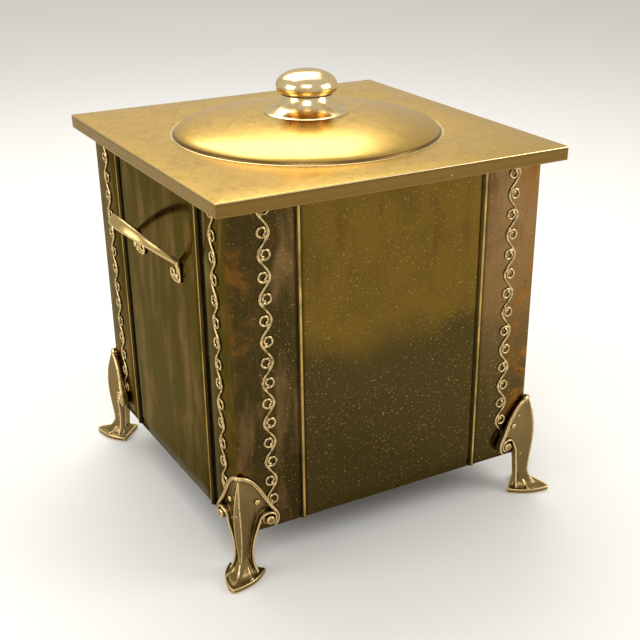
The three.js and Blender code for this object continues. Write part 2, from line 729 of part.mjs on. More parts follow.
function footGeometry() {
  const halfPieces = [sidePlate(), archStrap(), bracketRidge(), volute()];
  const beyondDiagonal = box(BODY_SIDE, BODY_SIDE, BODY_SIDE)
    .translate(-HALF_BODY - MITRE_OVERLAP, 0, HALF_BODY)
    .rotateZ(Math.PI / 4);
  const half = geometryOf(cut(join(halfPieces), [beyondDiagonal]));
  const whole = join([half, swappedAcrossCorner(half), leaf(), leg(), pad()]);
  const bodyCorner = squarePlate(
    HALF_BODY, BODY_CORNER_RADIUS + SEAT_GAP, BODY_SIDE, BODY_BOTTOM - SEAT_GAP,
  ).translate(HALF_BODY - SEAT_GAP, HALF_BODY - SEAT_GAP, 0);
  const rivetHeight = BODY_BOTTOM + FOOT_RIVET_RISE;
  const frontHole = facing(rivetHole(FOOT_PLATE * 3), [FOOT_RIVET_INSET, 0, rivetHeight],
    -Math.PI / 2);
  const sideHole = facing(rivetHole(FOOT_PLATE * 3), [0, FOOT_RIVET_INSET, rivetHeight],
    Math.PI);
  return geometryOf(cut(whole, [bodyCorner, frontHole, sideHole]));
}

// ---------------------------------------------------------------- handles

// A handle is drawn on the +X side with the body's face at x = 0 and its springing at z = 0.
function handleGeometry() {
  const slope = THREE.MathUtils.degToRad(HANDLE_SLOPE);
  const out = new THREE.Vector3(Math.cos(slope), 0, Math.sin(slope));
  const across = new THREE.Vector3(-Math.sin(slope), 0, Math.cos(slope));
  const stations = 14;
  const section = [[1, 0], [0.55, 0.8], [-0.55, 0.8], [-1, 0], [-0.6, -0.75], [0.6, -0.75]];
  const halfThick = GRIP_THICKNESS / 2;
  const rings = [];
  for (let i = 0; i <= stations; i += 1) {
    const angle = Math.PI * i / stations;
    const middle = out.clone().multiplyScalar(Math.sin(angle) * HANDLE_REACH)
      .setY(-Math.cos(angle) * HANDLE_SPAN / 2);
    const inwards = new THREE.Vector3(0, Math.cos(angle), 0)
      .addScaledVector(out, -Math.sin(angle));
    const halfWidth = THREE.MathUtils.lerp(
      GRIP_END_WIDTH, GRIP_WIDTH, Math.sin(angle) ** 2.4) / 2;
    rings.push(section.map(([a, b]) => middle.clone()
      .addScaledVector(across, a * halfWidth)
      .addScaledVector(inwards, b * halfThick)
      .toArray()));
  }
  const pieces = [loft(rings)];
  for (const end of [-1, 1]) {
    pieces.push(handleLug(end), handleCurl(end));
  }
  const panel = box(BODY_SIDE, BODY_SIDE, BODY_SIDE).translate(-HALF_BODY + SEAT_GAP, 0, 0);
  const holes = [-1, 1].map((end) => facing(rivetHole(LUG_THICKNESS * 3),
    [0, end * HANDLE_SPAN / 2, -LUG_RIVET_DROP], 0));
  return geometryOf(cut(join(pieces), [panel, ...holes]));
}

function handleLug(end) {
  const shape = new THREE.Shape();
  const half = LUG_WIDTH / 2;
  shape.moveTo(half, GRIP_END_WIDTH * 0.4);
  shape.lineTo(half, -LUG_LENGTH + half);
  shape.absarc(0, -LUG_LENGTH + half, half, 0, -Math.PI, true);
  shape.lineTo(-half, GRIP_END_WIDTH * 0.4);
  shape.closePath();
  return raisedFromFace(shape, -SEAT_GAP, LUG_THICKNESS, 3)
    .rotateZ(Math.PI / 2)
    .translate(0, end * HANDLE_SPAN / 2, 0);
}

// The small scroll that runs on from each lug's lower end towards the middle of the handle.
function handleCurl(end) {
  const centre = [HANDLE_CURL_INSET, HANDLE_CURL_RISE - LUG_LENGTH];
  const run = [[0, centre[1] - 3.4], [4.4, centre[1] - 6.2], [9, centre[1] - 6.2]];
  for (const [degrees, share] of [[-66, 1.04], [-10, 1], [48, 0.96], [106, 0.9], [164, 0.8],
    [222, 0.66], [280, 0.48]]) {
    const angle = THREE.MathUtils.degToRad(degrees);
    const radius = HANDLE_CURL_RADIUS * share;
    run.push([centre[0] + radius * Math.cos(angle), centre[1] + radius * Math.sin(angle)]);
  }
  const half = HANDLE_CURL_WIRE / 2;
  return loft(run.map(([v, z], i) => {
    const [av, az] = run[Math.max(i - 1, 0)];
    const [bv, bz] = run[Math.min(i + 1, run.length - 1)];
    const length = Math.hypot(bv - av, bz - az);
    const [nv, nz] = [(bz - az) / length * half, (av - bv) / length * half];
    const place = (side, x) => [x, end * (HANDLE_SPAN / 2 - v - side * nv), z + side * nz];
    return [place(-1, -SEAT_GAP), place(1, -SEAT_GAP), place(1, LUG_THICKNESS),
      place(-1, LUG_THICKNESS)];
  }));
}

// ---------------------------------------------------------------- running scroll strips

// A line of relief along [x, z] points: a flat back, two slopes and a crest.
function reliefLine(points, width, relief) {
  return loft(points.map(([x, z], i) => {
    const [ax, az] = points[Math.max(i - 1, 0)];
    const [bx, bz] = points[Math.min(i + 1, points.length - 1)];
    const length = Math.hypot(bx - ax, bz - az);
    const [nx, nz] = [(bz - az) / length * width / 2, (ax - bx) / length * width / 2];
    return [[x - nx, 0, z - nz], [x + nx, 0, z + nz], [x, -relief, z]];
  }));
}

const SCROLL_TOP = BODY_TOP - LID_FLANGE * 0.4;
const LOWEST_CURL = EYE_HEIGHT + VOLUTE_RADIUS + SCROLL_PITCH * 0.34;
const STEM_BOTTOM = LOWEST_CURL + STEM_START;

// The stem starts just above the foot's arch; the curls stand a pitch apart from the first.
function scrollStrip(firstCurl) {
  const curls = Math.floor((SCROLL_TOP - firstCurl - CURL_RADIUS) / SCROLL_PITCH) + 1;
  const phase = (z) => Math.PI * (z - firstCurl) / SCROLL_PITCH;
  const stem = [];
  const stepsPerCurl = 3;
  const length = SCROLL_TOP - STEM_BOTTOM;
  const stemSteps = Math.round(length / SCROLL_PITCH * stepsPerCurl);
  for (let i = 0; i <= stemSteps; i += 1) {
    const z = STEM_BOTTOM + length * i / stemSteps;
    stem.push([-SCROLL_SWAY * Math.cos(phase(z)), z]);
  }
  const lines = [reliefLine(stem, SCROLL_LINE_WIDTH, SCROLL_RELIEF)];
  for (let k = 0; k < curls; k += 1) {
    const side = k % 2 === 0 ? -1 : 1;
    const centre = [-side * CURL_OFFSET, firstCurl + k * SCROLL_PITCH];
    const steps = 6;
    const points = [];
    for (let i = 0; i <= steps; i += 1) {
      const share = i / steps;
      const angle = -0.2 * Math.PI - share * CURL_TURNS * Math.PI * 2;
      const radius = THREE.MathUtils.lerp(CURL_RADIUS, CURL_INNER_RADIUS, share ** 1.4);
      points.push([
        centre[0] + side * Math.cos(angle) * radius,
        centre[1] + Math.sin(angle) * radius,
      ]);
    }
    const rootZ = Math.max(centre[1] - SCROLL_PITCH * 0.36, STEM_BOTTOM);
    points.unshift([-SCROLL_SWAY * Math.cos(phase(rootZ)), rootZ]);
    lines.push(reliefLine(points, SCROLL_LINE_WIDTH * 0.85, SCROLL_RELIEF * 0.94));
  }
  return geometryOf(join(lines));
}

// ---------------------------------------------------------------- assembly

const scuttle = new THREE.Group();

function addPiece(name, geometry, material, parent = scuttle) {
  const mesh = new THREE.Mesh(geometry, material);
  mesh.name = name;
  parent.add(mesh);
  return mesh;
}

const lidGroup = new THREE.Group();
scuttle.add(lidGroup);

addPiece('body_shell', bodyShell(), PANEL_BRASS);
addPiece('base_tray', baseTray(), PANEL_BRASS);
addPiece('liner', liner(), LINER_STEEL);
addPiece('lid_pressing', lidPressing(), LID_BRASS, lidGroup);
addPiece('lid_hoop', lidHoop(), LID_BRASS, lidGroup);
addPiece('knob', knob(), LID_BRASS, lidGroup);
addPiece('knob_stud', knobStud(), FIXING_STEEL, lidGroup);
addPiece('knob_washer', knobWasher(), FIXING_STEEL, lidGroup);
addPiece('knob_nut', knobNut(), FIXING_STEEL, lidGroup);

const foot = footGeometry();
for (const corner of CORNERS) {
  const mesh = addPiece(`foot_${corner.name}`, foot, CAST_BRASS);
  mesh.position.set(corner.sx * HALF_BODY, corner.sy * HALF_BODY, 0);
  mesh.rotation.z = corner.turn;
}

const handle = handleGeometry();
for (const side of SIDES) {
  const mesh = addPiece(`handle_${side.name}`, handle, CAST_BRASS);
  mesh.position.set(side.sx * HALF_BODY, 0, HANDLE_SPRING);
  mesh.rotation.z = side.turn;
}

const footRivet = rivetGeometry(FOOT_PLATE);
const handleRivet = rivetGeometry(LUG_THICKNESS);
for (const [rivets, geometry] of [[footRivets, footRivet], [handleRivets, handleRivet]]) {
  for (const rivet of rivets) {
    addPiece(rivet.name, facing(geometry.clone(), rivet.place, rivet.angle), CAST_BRASS);
  }
}

// Every face has the strip upright at its left edge and turned end for end at its right edge.
const strip = scrollStrip(LOWEST_CURL);
const stripMiddle = (SCROLL_TOP + STEM_BOTTOM) / 2;
const turnedStrip = scrollStrip(LOWEST_CURL + TURNED_STRIP_START)
  .translate(0, 0, -stripMiddle)
  .rotateY(Math.PI)
  .translate(0, 0, stripMiddle);
for (const [face, turn] of [['front', 0], ['right', 0.5], ['rear', 1], ['left', -0.5]]) {
  const faceGroup = new THREE.Group();
  faceGroup.rotation.z = turn * Math.PI;
  scuttle.add(faceGroup);
  for (const [edge, geometry, sx] of [['a', strip, -1], ['b', turnedStrip, 1]]) {
    const mesh = addPiece(`scroll_${face}_${edge}`, geometry, SCROLL_BRASS, faceGroup);
    mesh.position.set(sx * (HALF_BODY - SCROLL_INSET), -HALF_BODY - SEAT_GAP, 0);
  }
}

export default scuttle;
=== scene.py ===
import math
from functools import partial

import bmesh
import bpy
from bpy.props import FloatProperty, FloatVectorProperty, IntProperty, PointerProperty
from bpy.types import Operator, Panel, PropertyGroup
from mathutils import Matrix, Vector, noise


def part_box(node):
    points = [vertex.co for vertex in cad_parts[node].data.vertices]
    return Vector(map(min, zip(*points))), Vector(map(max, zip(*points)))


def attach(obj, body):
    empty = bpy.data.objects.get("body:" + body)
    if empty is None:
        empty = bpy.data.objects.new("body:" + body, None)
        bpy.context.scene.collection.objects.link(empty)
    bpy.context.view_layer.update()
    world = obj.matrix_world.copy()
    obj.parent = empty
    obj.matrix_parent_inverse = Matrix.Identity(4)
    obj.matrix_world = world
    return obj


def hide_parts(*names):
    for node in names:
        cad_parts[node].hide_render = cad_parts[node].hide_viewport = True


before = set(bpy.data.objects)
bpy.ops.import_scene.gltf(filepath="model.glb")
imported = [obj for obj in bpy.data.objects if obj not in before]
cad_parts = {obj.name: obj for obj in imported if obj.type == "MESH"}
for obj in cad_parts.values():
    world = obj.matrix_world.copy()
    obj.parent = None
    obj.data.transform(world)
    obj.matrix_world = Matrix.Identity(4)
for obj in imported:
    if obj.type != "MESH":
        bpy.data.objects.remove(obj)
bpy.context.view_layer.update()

bl_info = {
    "name": "Brass Coal Box",
    "version": (1, 0, 0),
    "blender": (4, 5, 0),
    "location": "View3D > Sidebar > Coal Box",
    "description": "Builds a square lidded hearth coal box in sheet and cast brass",
    "category": "Add Mesh",
}

MM = 0.001

# Where the frame puts the main pieces, in metres.
BODY_LOW, BODY_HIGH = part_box("body_shell")
LID_LOW, LID_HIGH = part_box("lid_pressing")
KNOB_LOW, KNOB_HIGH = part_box("knob")
STRIP_LOW, STRIP_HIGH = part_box("scroll_front_a")
BEAD_RISE = 1.955 * MM           # from the body's flat faces out to the frame's facets
HALF = BODY_HIGH.x - BEAD_RISE
BODY_BOTTOM, BODY_TOP = BODY_LOW.z, BODY_HIGH.z
DOME_RISE = 18.5 * MM            # from the lid's flat up to the dome's top
LID_TOP = LID_HIGH.z - DOME_RISE
FACE_GAP = 0.25 * MM             # between the castings and the panels
MERGE_REACH = 1e-7               # points nearer than this are one

# Each corner and side: its name, its direction from the middle and its turn.
CORNERS = (
    ("front_left", -1, -1, 0),
    ("front_right", 1, -1, math.pi / 2),
    ("rear_right", 1, 1, math.pi),
    ("rear_left", -1, 1, -math.pi / 2),
)
SIDES = (("left", -1, math.pi), ("right", 1, 0))
FACES = (("front", 0), ("right", math.pi / 2), ("rear", math.pi), ("left", -math.pi / 2))


def linear(code):
    """Linear red, green and blue of an sRGB hex value."""
    channels = [int(code[i:i + 2], 16) / 255 for i in (0, 2, 4)]
    return tuple(c / 12.92 if c <= 0.04045 else ((c + 0.055) / 1.055) ** 2.4 for c in channels)


# ---------------------------------------------------------------- settings

def length(name, description, millimetres, low=0.0):
    """A length setting, given in millimetres and held in metres."""
    return FloatProperty(name=name, description=description, default=millimetres * MM,
                         min=low * MM, unit='LENGTH', precision=5)


def colour(name, description, code):
    """A colour setting, given as an sRGB hex value."""
    return FloatVectorProperty(name=name, description=description, default=linear(code),
                               subtype='COLOR', size=3, min=0, max=1)


class CoalBoxBody(PropertyGroup):
    """The folded body sheet and its beads"""
    corner_radius: length("Corner radius", "Outer radius of the folded corners", 4.5, 2)
    sheet: length("Sheet", "Thickness of the sheet brass", 1.0, 0.4)
    bead_inset: length("Bead inset", "From a corner of the box to the middle of its bead", 65.5)
    bead_width: length("Bead width", "Width of the raised beads", 5.4, 2)
    wander: length("Wander", "How far the hand-worked panels stray from flat", 0.45)
    hem_depth: length("Hem depth", "Depth of the turned hem inside the mouth", 10, 2)


class CoalBoxLid(PropertyGroup):
    """The pressed lid"""
    fold_radius: length("Fold radius", "Radius over the turned-down edge", 1.3, 0.5)
    sheet: length("Sheet", "Thickness of the lid's sheet", 1.1, 0.4)
    dome_radius: length("Dome radius", "Radius of the raised dome", 131, 60)
    stud_hole: length("Stud hole", "Radius of the hole for the knob's stud", 4.4, 1)


class CoalBoxKnob(PropertyGroup):
    """The turned knob"""
    ball_radius: length("Ball radius", "Widest radius of the ball", 30, 10)
    ball_height: length("Ball height", "Height of the ball over its lower rim", 23.2, 8)
    neck_radius: length("Neck radius", "Radius of the neck under the ball", 22.4, 5)
    skirt_radius: length("Skirt radius", "Radius of the skirt on the dome", 42, 12)
    segments: IntProperty(name="Segments", description="Facets round the turning",
                          default=96, min=24, max=256)


class CoalBoxFeet(PropertyGroup):
    """The cast feet"""
    eye_inset: length("Eye inset", "From the corner to the volute's eye, along the face", 25.6)
    eye_rise: length("Eye rise", "From the body's lower edge up to the volute's eye", 14.1)
    volute_radius: length("Volute radius", "Radius of the rolled volute", 9.9, 4)
    arch_rise: length("Arch rise", "From the body's lower edge to the arch's top", 64.5, 20)
    grain: length("Casting grain", "Voxel that the feet are fused at", 0.5, 0.3)


class CoalBoxHandles(PropertyGroup):
    """The cast bow handles"""
    span: length("Span", "Between the middles of the two lugs", 106, 60)
    reach: length("Reach", "How far the bow stands out along its slope", 50, 20)
    slope: FloatProperty(name="Slope", description="Angle of the bow above level",
                         default=math.radians(39), subtype='ANGLE')
    grip_width: length("Grip width", "Width of the bow at its middle", 11.4, 4)
    end_width: length("End width", "Width of the bow where it springs", 6.4, 3)
    thickness: length("Thickness", "Thickness of the bow", 3.9, 1.5)
    lug_length: length("Lug length", "How far the lugs hang down the side", 18.5, 8)
    curl_inset: length("Curl inset", "From a lug's middle to its curl's, along the side", 13, 6)
    curl_radius: length("Curl radius", "Radius of a curl's outer turn", 5.4, 2)
    drop: length("Drop", "From the body's upper edge down to where the bow springs", 91.6)
    grain: length("Casting grain", "Voxel that the handles are fused at", 0.5, 0.3)


class CoalBoxScrolls(PropertyGroup):
    """The running scroll strips"""
    pitch: length("Pitch", "From one curl to the next", 20, 8)
    sway: length("Sway", "How far the stem swings from side to side", 5.2)
    curl_radius: length("Curl radius", "Radius of a curl's outer turn", 4.7, 1.5)
    curl_offset: length("Curl offset", "From the strip's middle to a curl's", 1.1)
    line_width: length("Line width", "Width of the relief line", 3.1, 0.6)
    relief: length("Relief", "Height of the relief above the panel", 1.7, 0.4)
    lowest_curl: length("Lowest curl", "From the body's lower edge to the lowest curl", 30.8)
    stem_start: length("Stem start", "From the lowest curl's middle up to the stem's end", 2.6)
    head_gap: length("Head gap", "From the strips' upper ends to the body's upper edge", 5.2)
    turned_start: length("Turned start", "Further in to the turned strips' first curl", 18.7)


class CoalBoxFinish(PropertyGroup):
    """The colours of the finishes"""
    panel: colour("Panel", "Aged sheet brass, high on the panels", "6B5420")
    panel_low: colour("Panel, low", "Tarnish below the tide line", "483C1E")
    # panel_olive_and_shade: olive tone to the left, and painted shade on the left face
    panel_olive_and_shade: colour("Panel, olive", "Olive tarnish to the left", "3F3419")
    panel_tan: colour("Panel, tan", "Dry tan tarnish to the right", "876843")
    panel_warm: colour("Panel, warm", "Orange tarnish in patches near the corners", "9C6322")
    panel_stain: colour("Panel, stain", "Brown runs below the lid", "55391F")
    # bead: a painted highlight along the beads' crowns
    bead: colour("Bead", "Metal rubbed bright along the beads", "CDA95E")
    lid: colour("Lid", "Polished sheet brass", "CAA551")
    lid_dull: colour("Lid, dull", "Handled and dulled patches of the lid", "C8A254")
    # lid_edge_and_shade: drawn darker down the folded edge, and painted shade in the tight corners
    # of the lid and the knob
    lid_edge_and_shade: colour("Lid, edge", "Duller metal down the lid's folded edge", "80632A")
    # lid_quirk: drawn darker in the line round the dome
    lid_quirk: colour("Lid, quirk", "Dirt in the line round the dome", "7A5E2C")
    # turned: also the painted highlight along the lid's folded arris
    turned: colour("Turned knob", "Turned and buffed brass", "EDD3A0")
    cast: colour("Casting", "Darkened skin of the castings", "7C6840")
    # handled_and_lit: a lighter copy of the casting colour for the handles, partly hand wear and
    # partly painted light
    handled_and_lit: colour("Handle", "Castings kept lighter by hands", "B89E63")
    # rubbed: edges rubbed bright, and a painted highlight on the feet's strap and roll
    rubbed: colour("Rubbed edge", "Edges of the castings rubbed bright", "DDC08A")
    # recess_tarnish_and_shade: tarnish, pits and dark specks, and painted shade in hollows and
    # beside raised work
    recess_tarnish_and_shade: colour("Recess", "Tarnish left in recesses", "2C2410")
    grazing: colour("Seen edge on", "Brass seen nearly edge on", "F2E6C6")
    grazing_dark: colour("Tarnish seen edge on", "Tarnished brass seen edge on", "CFC9B7")
    speck: colour("Speck", "Pale specks in the tarnish", "B1935A")
    blacked: colour("Blacked steel", "Blacked sheet of the liner", "232220")
    blacked_worn: colour("Blacked steel, worn", "The liner's worn patches", "312F2C")
    plated: colour("Plated steel", "Zinc plate of the knob's fixing", "8A8A86")
    plated_light: colour("Plated steel, light", "Lighter patches of the plate", "A9AAA6")


class CoalBoxStage(PropertyGroup):
    """The floor, lights and camera"""
    floor: colour("Floor", "Pale floor", "DEDCD7")
    backdrop: colour("Backdrop", "Pale backdrop and reflections", "D9D8D5")
    backdrop_strength: FloatProperty(
        name="Backdrop strength", description="How brightly the backdrop shines",
        default=0.92, min=0)
    ceiling_power: FloatProperty(
        name="Ceiling power", description="Power of the wide ceiling light",
        default=40.0, min=0, unit='POWER')
    key_power: FloatProperty(
        name="Key power", description="Power of the soft light overhead",
        default=20.0, min=0, unit='POWER')
    fill_power: FloatProperty(
        name="Fill power", description="Power of each soft light round the front",
        default=12.0, min=0, unit='POWER')
    camera_place: FloatVectorProperty(
        name="Camera place", description="Where the camera stands",
        default=(-0.530, -0.992, 0.641), size=3, subtype='XYZ', unit='LENGTH')
    camera_aim: FloatVectorProperty(
        name="Camera aim", description="The way the camera faces",
        default=(0.452, 0.774, -0.444), size=3, subtype='XYZ')
    lens: FloatProperty(
        name="Lens", description="Focal length in millimetres on a 36 mm wide sensor",
        default=64.55, min=10, unit='CAMERA')
    shift: FloatVectorProperty(
        name="Shift", description="How far the picture is shifted, in picture widths",
        default=(-0.048, 0.111), size=2)


# Name, place, the point it faces, side, and which setting gives its power.
SOFT_LIGHTS = (
    ("ceiling", (0.6, 2.4, 3.4), (0.4, 1.4, 0), 4.0, "ceiling_power"),
    ("overhead softbox", (0.25, 0.95, 1.75), (0, 0, 0.35), 1.3, "key_power"),
    ("front softbox", (-0.75, -1.35, 1.75), (0, 0, 0.35), 1.0, "fill_power"),
    ("left softbox", (-1.6, 0.1, 0.9), (0, 0, 0.3), 1.0, "fill_power"),
    ("right softbox", (1.3, -1.0, 0.9), (0, 0, 0.3), 1.0, "fill_power"),
)
FLOOR_REACH = 15                 # from the middle of the floor to its edges
FLOOR_GAP = 0.2 * MM             # between the floor and the feet
SENSOR_WIDTH = 36

SETTINGS = {
    "coal_box_body": CoalBoxBody, "coal_box_lid": CoalBoxLid, "coal_box_knob": CoalBoxKnob,
    "coal_box_feet": CoalBoxFeet, "coal_box_handles": CoalBoxHandles,
    "coal_box_scrolls": CoalBoxScrolls, "coal_box_finish": CoalBoxFinish,
    "coal_box_stage": CoalBoxStage,
}


# ---------------------------------------------------------------- curves and meshes

def lerp(a, b, t):
    """The value that lies the share t of the way from a to b."""
    return a + (b - a) * t


def smooth_run(points, steps):
    """A smooth run through points of any size, with steps between each pair."""
    run = [tuple(float(c) for c in p) for p in points]
    ends = [run[0]] + run + [run[-1]]
    out = []
    for i in range(len(run) - 1):
        p0, p1, p2, p3 = ends[i:i + 4]
        for k in range(steps):
            t = k / steps
            out.append(tuple(
                0.5 * (2 * b + (c - a) * t + (2 * a - 5 * b + 4 * c - d) * t * t
                       + (3 * b - a - 3 * c + d) * t ** 3)
                for a, b, c, d in zip(p0, p1, p2, p3)))
    out.append(run[-1])
    return out


def add_loft(bm, rings, looped=False):
    """A closed skin over rings of equal length; looped joins the last ring to the first."""
    rows = [[bm.verts.new(p) for p in ring] for ring in rings]
    spans = len(rows) if looped else len(rows) - 1
    for r in range(spans):
        low, high = rows[r], rows[(r + 1) % len(rows)]
        for i in range(len(low)):
            j = (i + 1) % len(low)
            bm.faces.new((low[i], low[j], high[j], high[i]))
    if not looped:
        bm.faces.new(list(reversed(rows[0])))
        bm.faces.new(rows[-1])
    return rows


def add_revolve(bm, profile, segments, place=Matrix.Identity(4)):
    """A profile of (radius, height) turned round +Z; radius 0 closes it on the axis."""
    rows = []
    for radius, height in profile:
        if radius < MERGE_REACH:
            rows.append([bm.verts.new(place @ Vector((0, 0, height)))])
            continue
        rows.append([bm.verts.new(place @ Vector((
            radius * math.cos(2 * math.pi * i / segments),
            radius * math.sin(2 * math.pi * i / segments), height))) for i in range(segments)])
    for low, high in zip(rows, rows[1:]):
        for i in range(segments):
            j = (i + 1) % segments
            corners = [low[i % len(low)], low[j % len(low)],
                       high[j % len(high)], high[i % len(high)]]
            bm.faces.new(list(dict.fromkeys(corners)))


def add_band(bm, path, outward, widths, depths, power=2.0, sides=12):
    """A band swept along a path. outward[i] says where its depth points, widths lie across it."""
    points = [Vector(p) for p in path]
    rings = []
    for i, point in enumerate(points):
        along = (points[min(i + 1, len(points) - 1)] - points[max(i - 1, 0)]).normalized()
        out = Vector(outward[i])
        out = (out - along * out.dot(along)).normalized()
        across = along.cross(out)
        ring = []
        for k in range(sides):
            angle = 2 * math.pi * k / sides
            c, s = math.cos(angle), math.sin(angle)
            ring.append(point
                        + across * widths[i] / 2 * math.copysign(abs(c) ** (2 / power), c)
                        + out * depths[i] / 2 * math.copysign(abs(s) ** (2 / power), s))
        rings.append(ring)
    add_loft(bm, rings)


def finished(name, bm, material, crease=40):
    """Makes an object of a bmesh, faces out, smooth up to the crease angle."""
    bmesh.ops.remove_doubles(bm, verts=bm.verts, dist=MERGE_REACH)
    bmesh.ops.recalc_face_normals(bm, faces=bm.faces)
    mesh = bpy.data.meshes.new(name)
    bm.to_mesh(mesh)
    bm.free()
    return shaded(name, mesh, material, crease)


def shaded(name, mesh, material, crease):
    """Makes an object of a mesh, of one material and smooth up to the crease angle."""
    mesh.materials.clear()
    mesh.materials.append(material)
    mesh.shade_smooth()
    mesh.set_sharp_from_angle(angle=math.radians(crease))
    piece = bpy.data.objects.new(name, mesh)
    bpy.context.scene.collection.objects.link(piece)
    return piece


def cast_in_one(name, bm, material, grain, cutter):
    """Fuses overlapping closed forms into one casting, rounds its joins and cuts it clear."""
    blank = finished(name + "_blank", bm, material)
    remesh = blank.modifiers.new("Fuse", 'REMESH')
    remesh.mode = 'VOXEL'
    remesh.voxel_size = grain
    soften = blank.modifiers.new("Soften", 'SMOOTH')
    soften.factor = 0.5
    soften.iterations = 3
    clear = blank.modifiers.new("Clear", 'BOOLEAN')
    clear.operation = 'DIFFERENCE'
    clear.solver = 'EXACT'
    clear.object = cutter
    evaluated = blank.evaluated_get(bpy.context.evaluated_depsgraph_get())
    mesh = bpy.data.meshes.new_from_object(evaluated)
    bpy.data.objects.remove(blank)
    bpy.data.objects.remove(cutter)
    return mesh


def settle(piece, body, slot, *nodes):
    """Seats a piece on its body in place of the frame's nodes."""
    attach(piece, body)
    if nodes:
        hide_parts(*nodes)


# ---------------------------------------------------------------- materials

UNDER, OVER, MIXED = 6, 7, 2     # a colour Mix node's two colour inputs and its output


def add_node(tree, kind, values, output=0):
    """Adds a node, gives its fields and inputs their values and hands back one output.

    A value that is another node's output is linked. A colour gets its full alpha.
    """
    node = tree.nodes.new(kind)
    for key, value in values.items():
        if isinstance(key, str) and hasattr(node, key):
            setattr(node, key, value)
        elif isinstance(value, bpy.types.NodeSocket):
            tree.links.new(value, node.inputs[key])
        elif node.inputs[key].type == 'RGBA':
            node.inputs[key].default_value = (*value, 1.0)
        else:
            node.inputs[key].default_value = value
    return node.outputs[output] if node.outputs else None


def new_material(name):
    """An empty material, and add_node bound to its tree."""
    material = bpy.data.materials.new(name)
    material.use_nodes = True
    material.node_tree.nodes.clear()
    return material, partial(add_node, material.node_tree)


def cover_of(add, *shares):
    """The product of shares, which says how much of the metal a tint covers.

    A share is a number, an output or (output, none, full). The last one rises softly from
    not at all where the output is at none to wholly where it is at full.
    """
    cover = 1.0
    for share in shares:
        if isinstance(share, tuple):
            source, none, full = share
            share = add('ShaderNodeMapRange', {
                "interpolation_type": 'SMOOTHSTEP', "Value": source,
                "From Min": none, "From Max": full})
        cover = add('ShaderNodeMath', {"operation": 'MULTIPLY', 0: cover, 1: share})
    return cover


def tinted(add, base, tint, *shares):
    """The base colour with a tint laid over it by the product of the shares."""
    return add('ShaderNodeMix', {"data_type": 'RGBA', 0: cover_of(add, *shares),
                                 UNDER: base, OVER: tint}, MIXED)


def specks(add, place, cell, share_bare, widest):
    """Round specks, one at most to a cell, of random size up to the widest share of a cell."""
    cells = add('ShaderNodeTexVoronoi', {"Vector": place, "Scale": 1 / cell}).node.outputs
    pick = add('ShaderNodeSeparateColor', {"Color": cells["Color"]})
    size = add('ShaderNodeMapRange', {"Value": pick, "From Min": share_bare, "From Max": 1.0,
                                      "To Min": 0.0, "To Max": widest})
    return add('ShaderNodeMath', {"operation": 'LESS_THAN', 0: cells["Distance"], 1: size})


def finish_metal(add, base, roughness, bump, grazing, lacquer=0.0, tarnish=0.0):
    """The metal itself: colour, roughness and relief, and its colour seen edge on.

    The share of it under clear lacquer shows white highlights over the golden ones. The
    share under a matt tarnish film stays lit where the bare metal mirrors something dark.
    """
    metal = add('ShaderNodeBsdfPrincipled', {
        "Base Color": base, "Roughness": roughness, "Normal": bump,
        "Metallic": 1.0 - tarnish, "Specular Tint": grazing,
        "Coat Weight": lacquer, "Coat Roughness": 0.16})
    add('ShaderNodeOutputMaterial', {"Surface": metal})


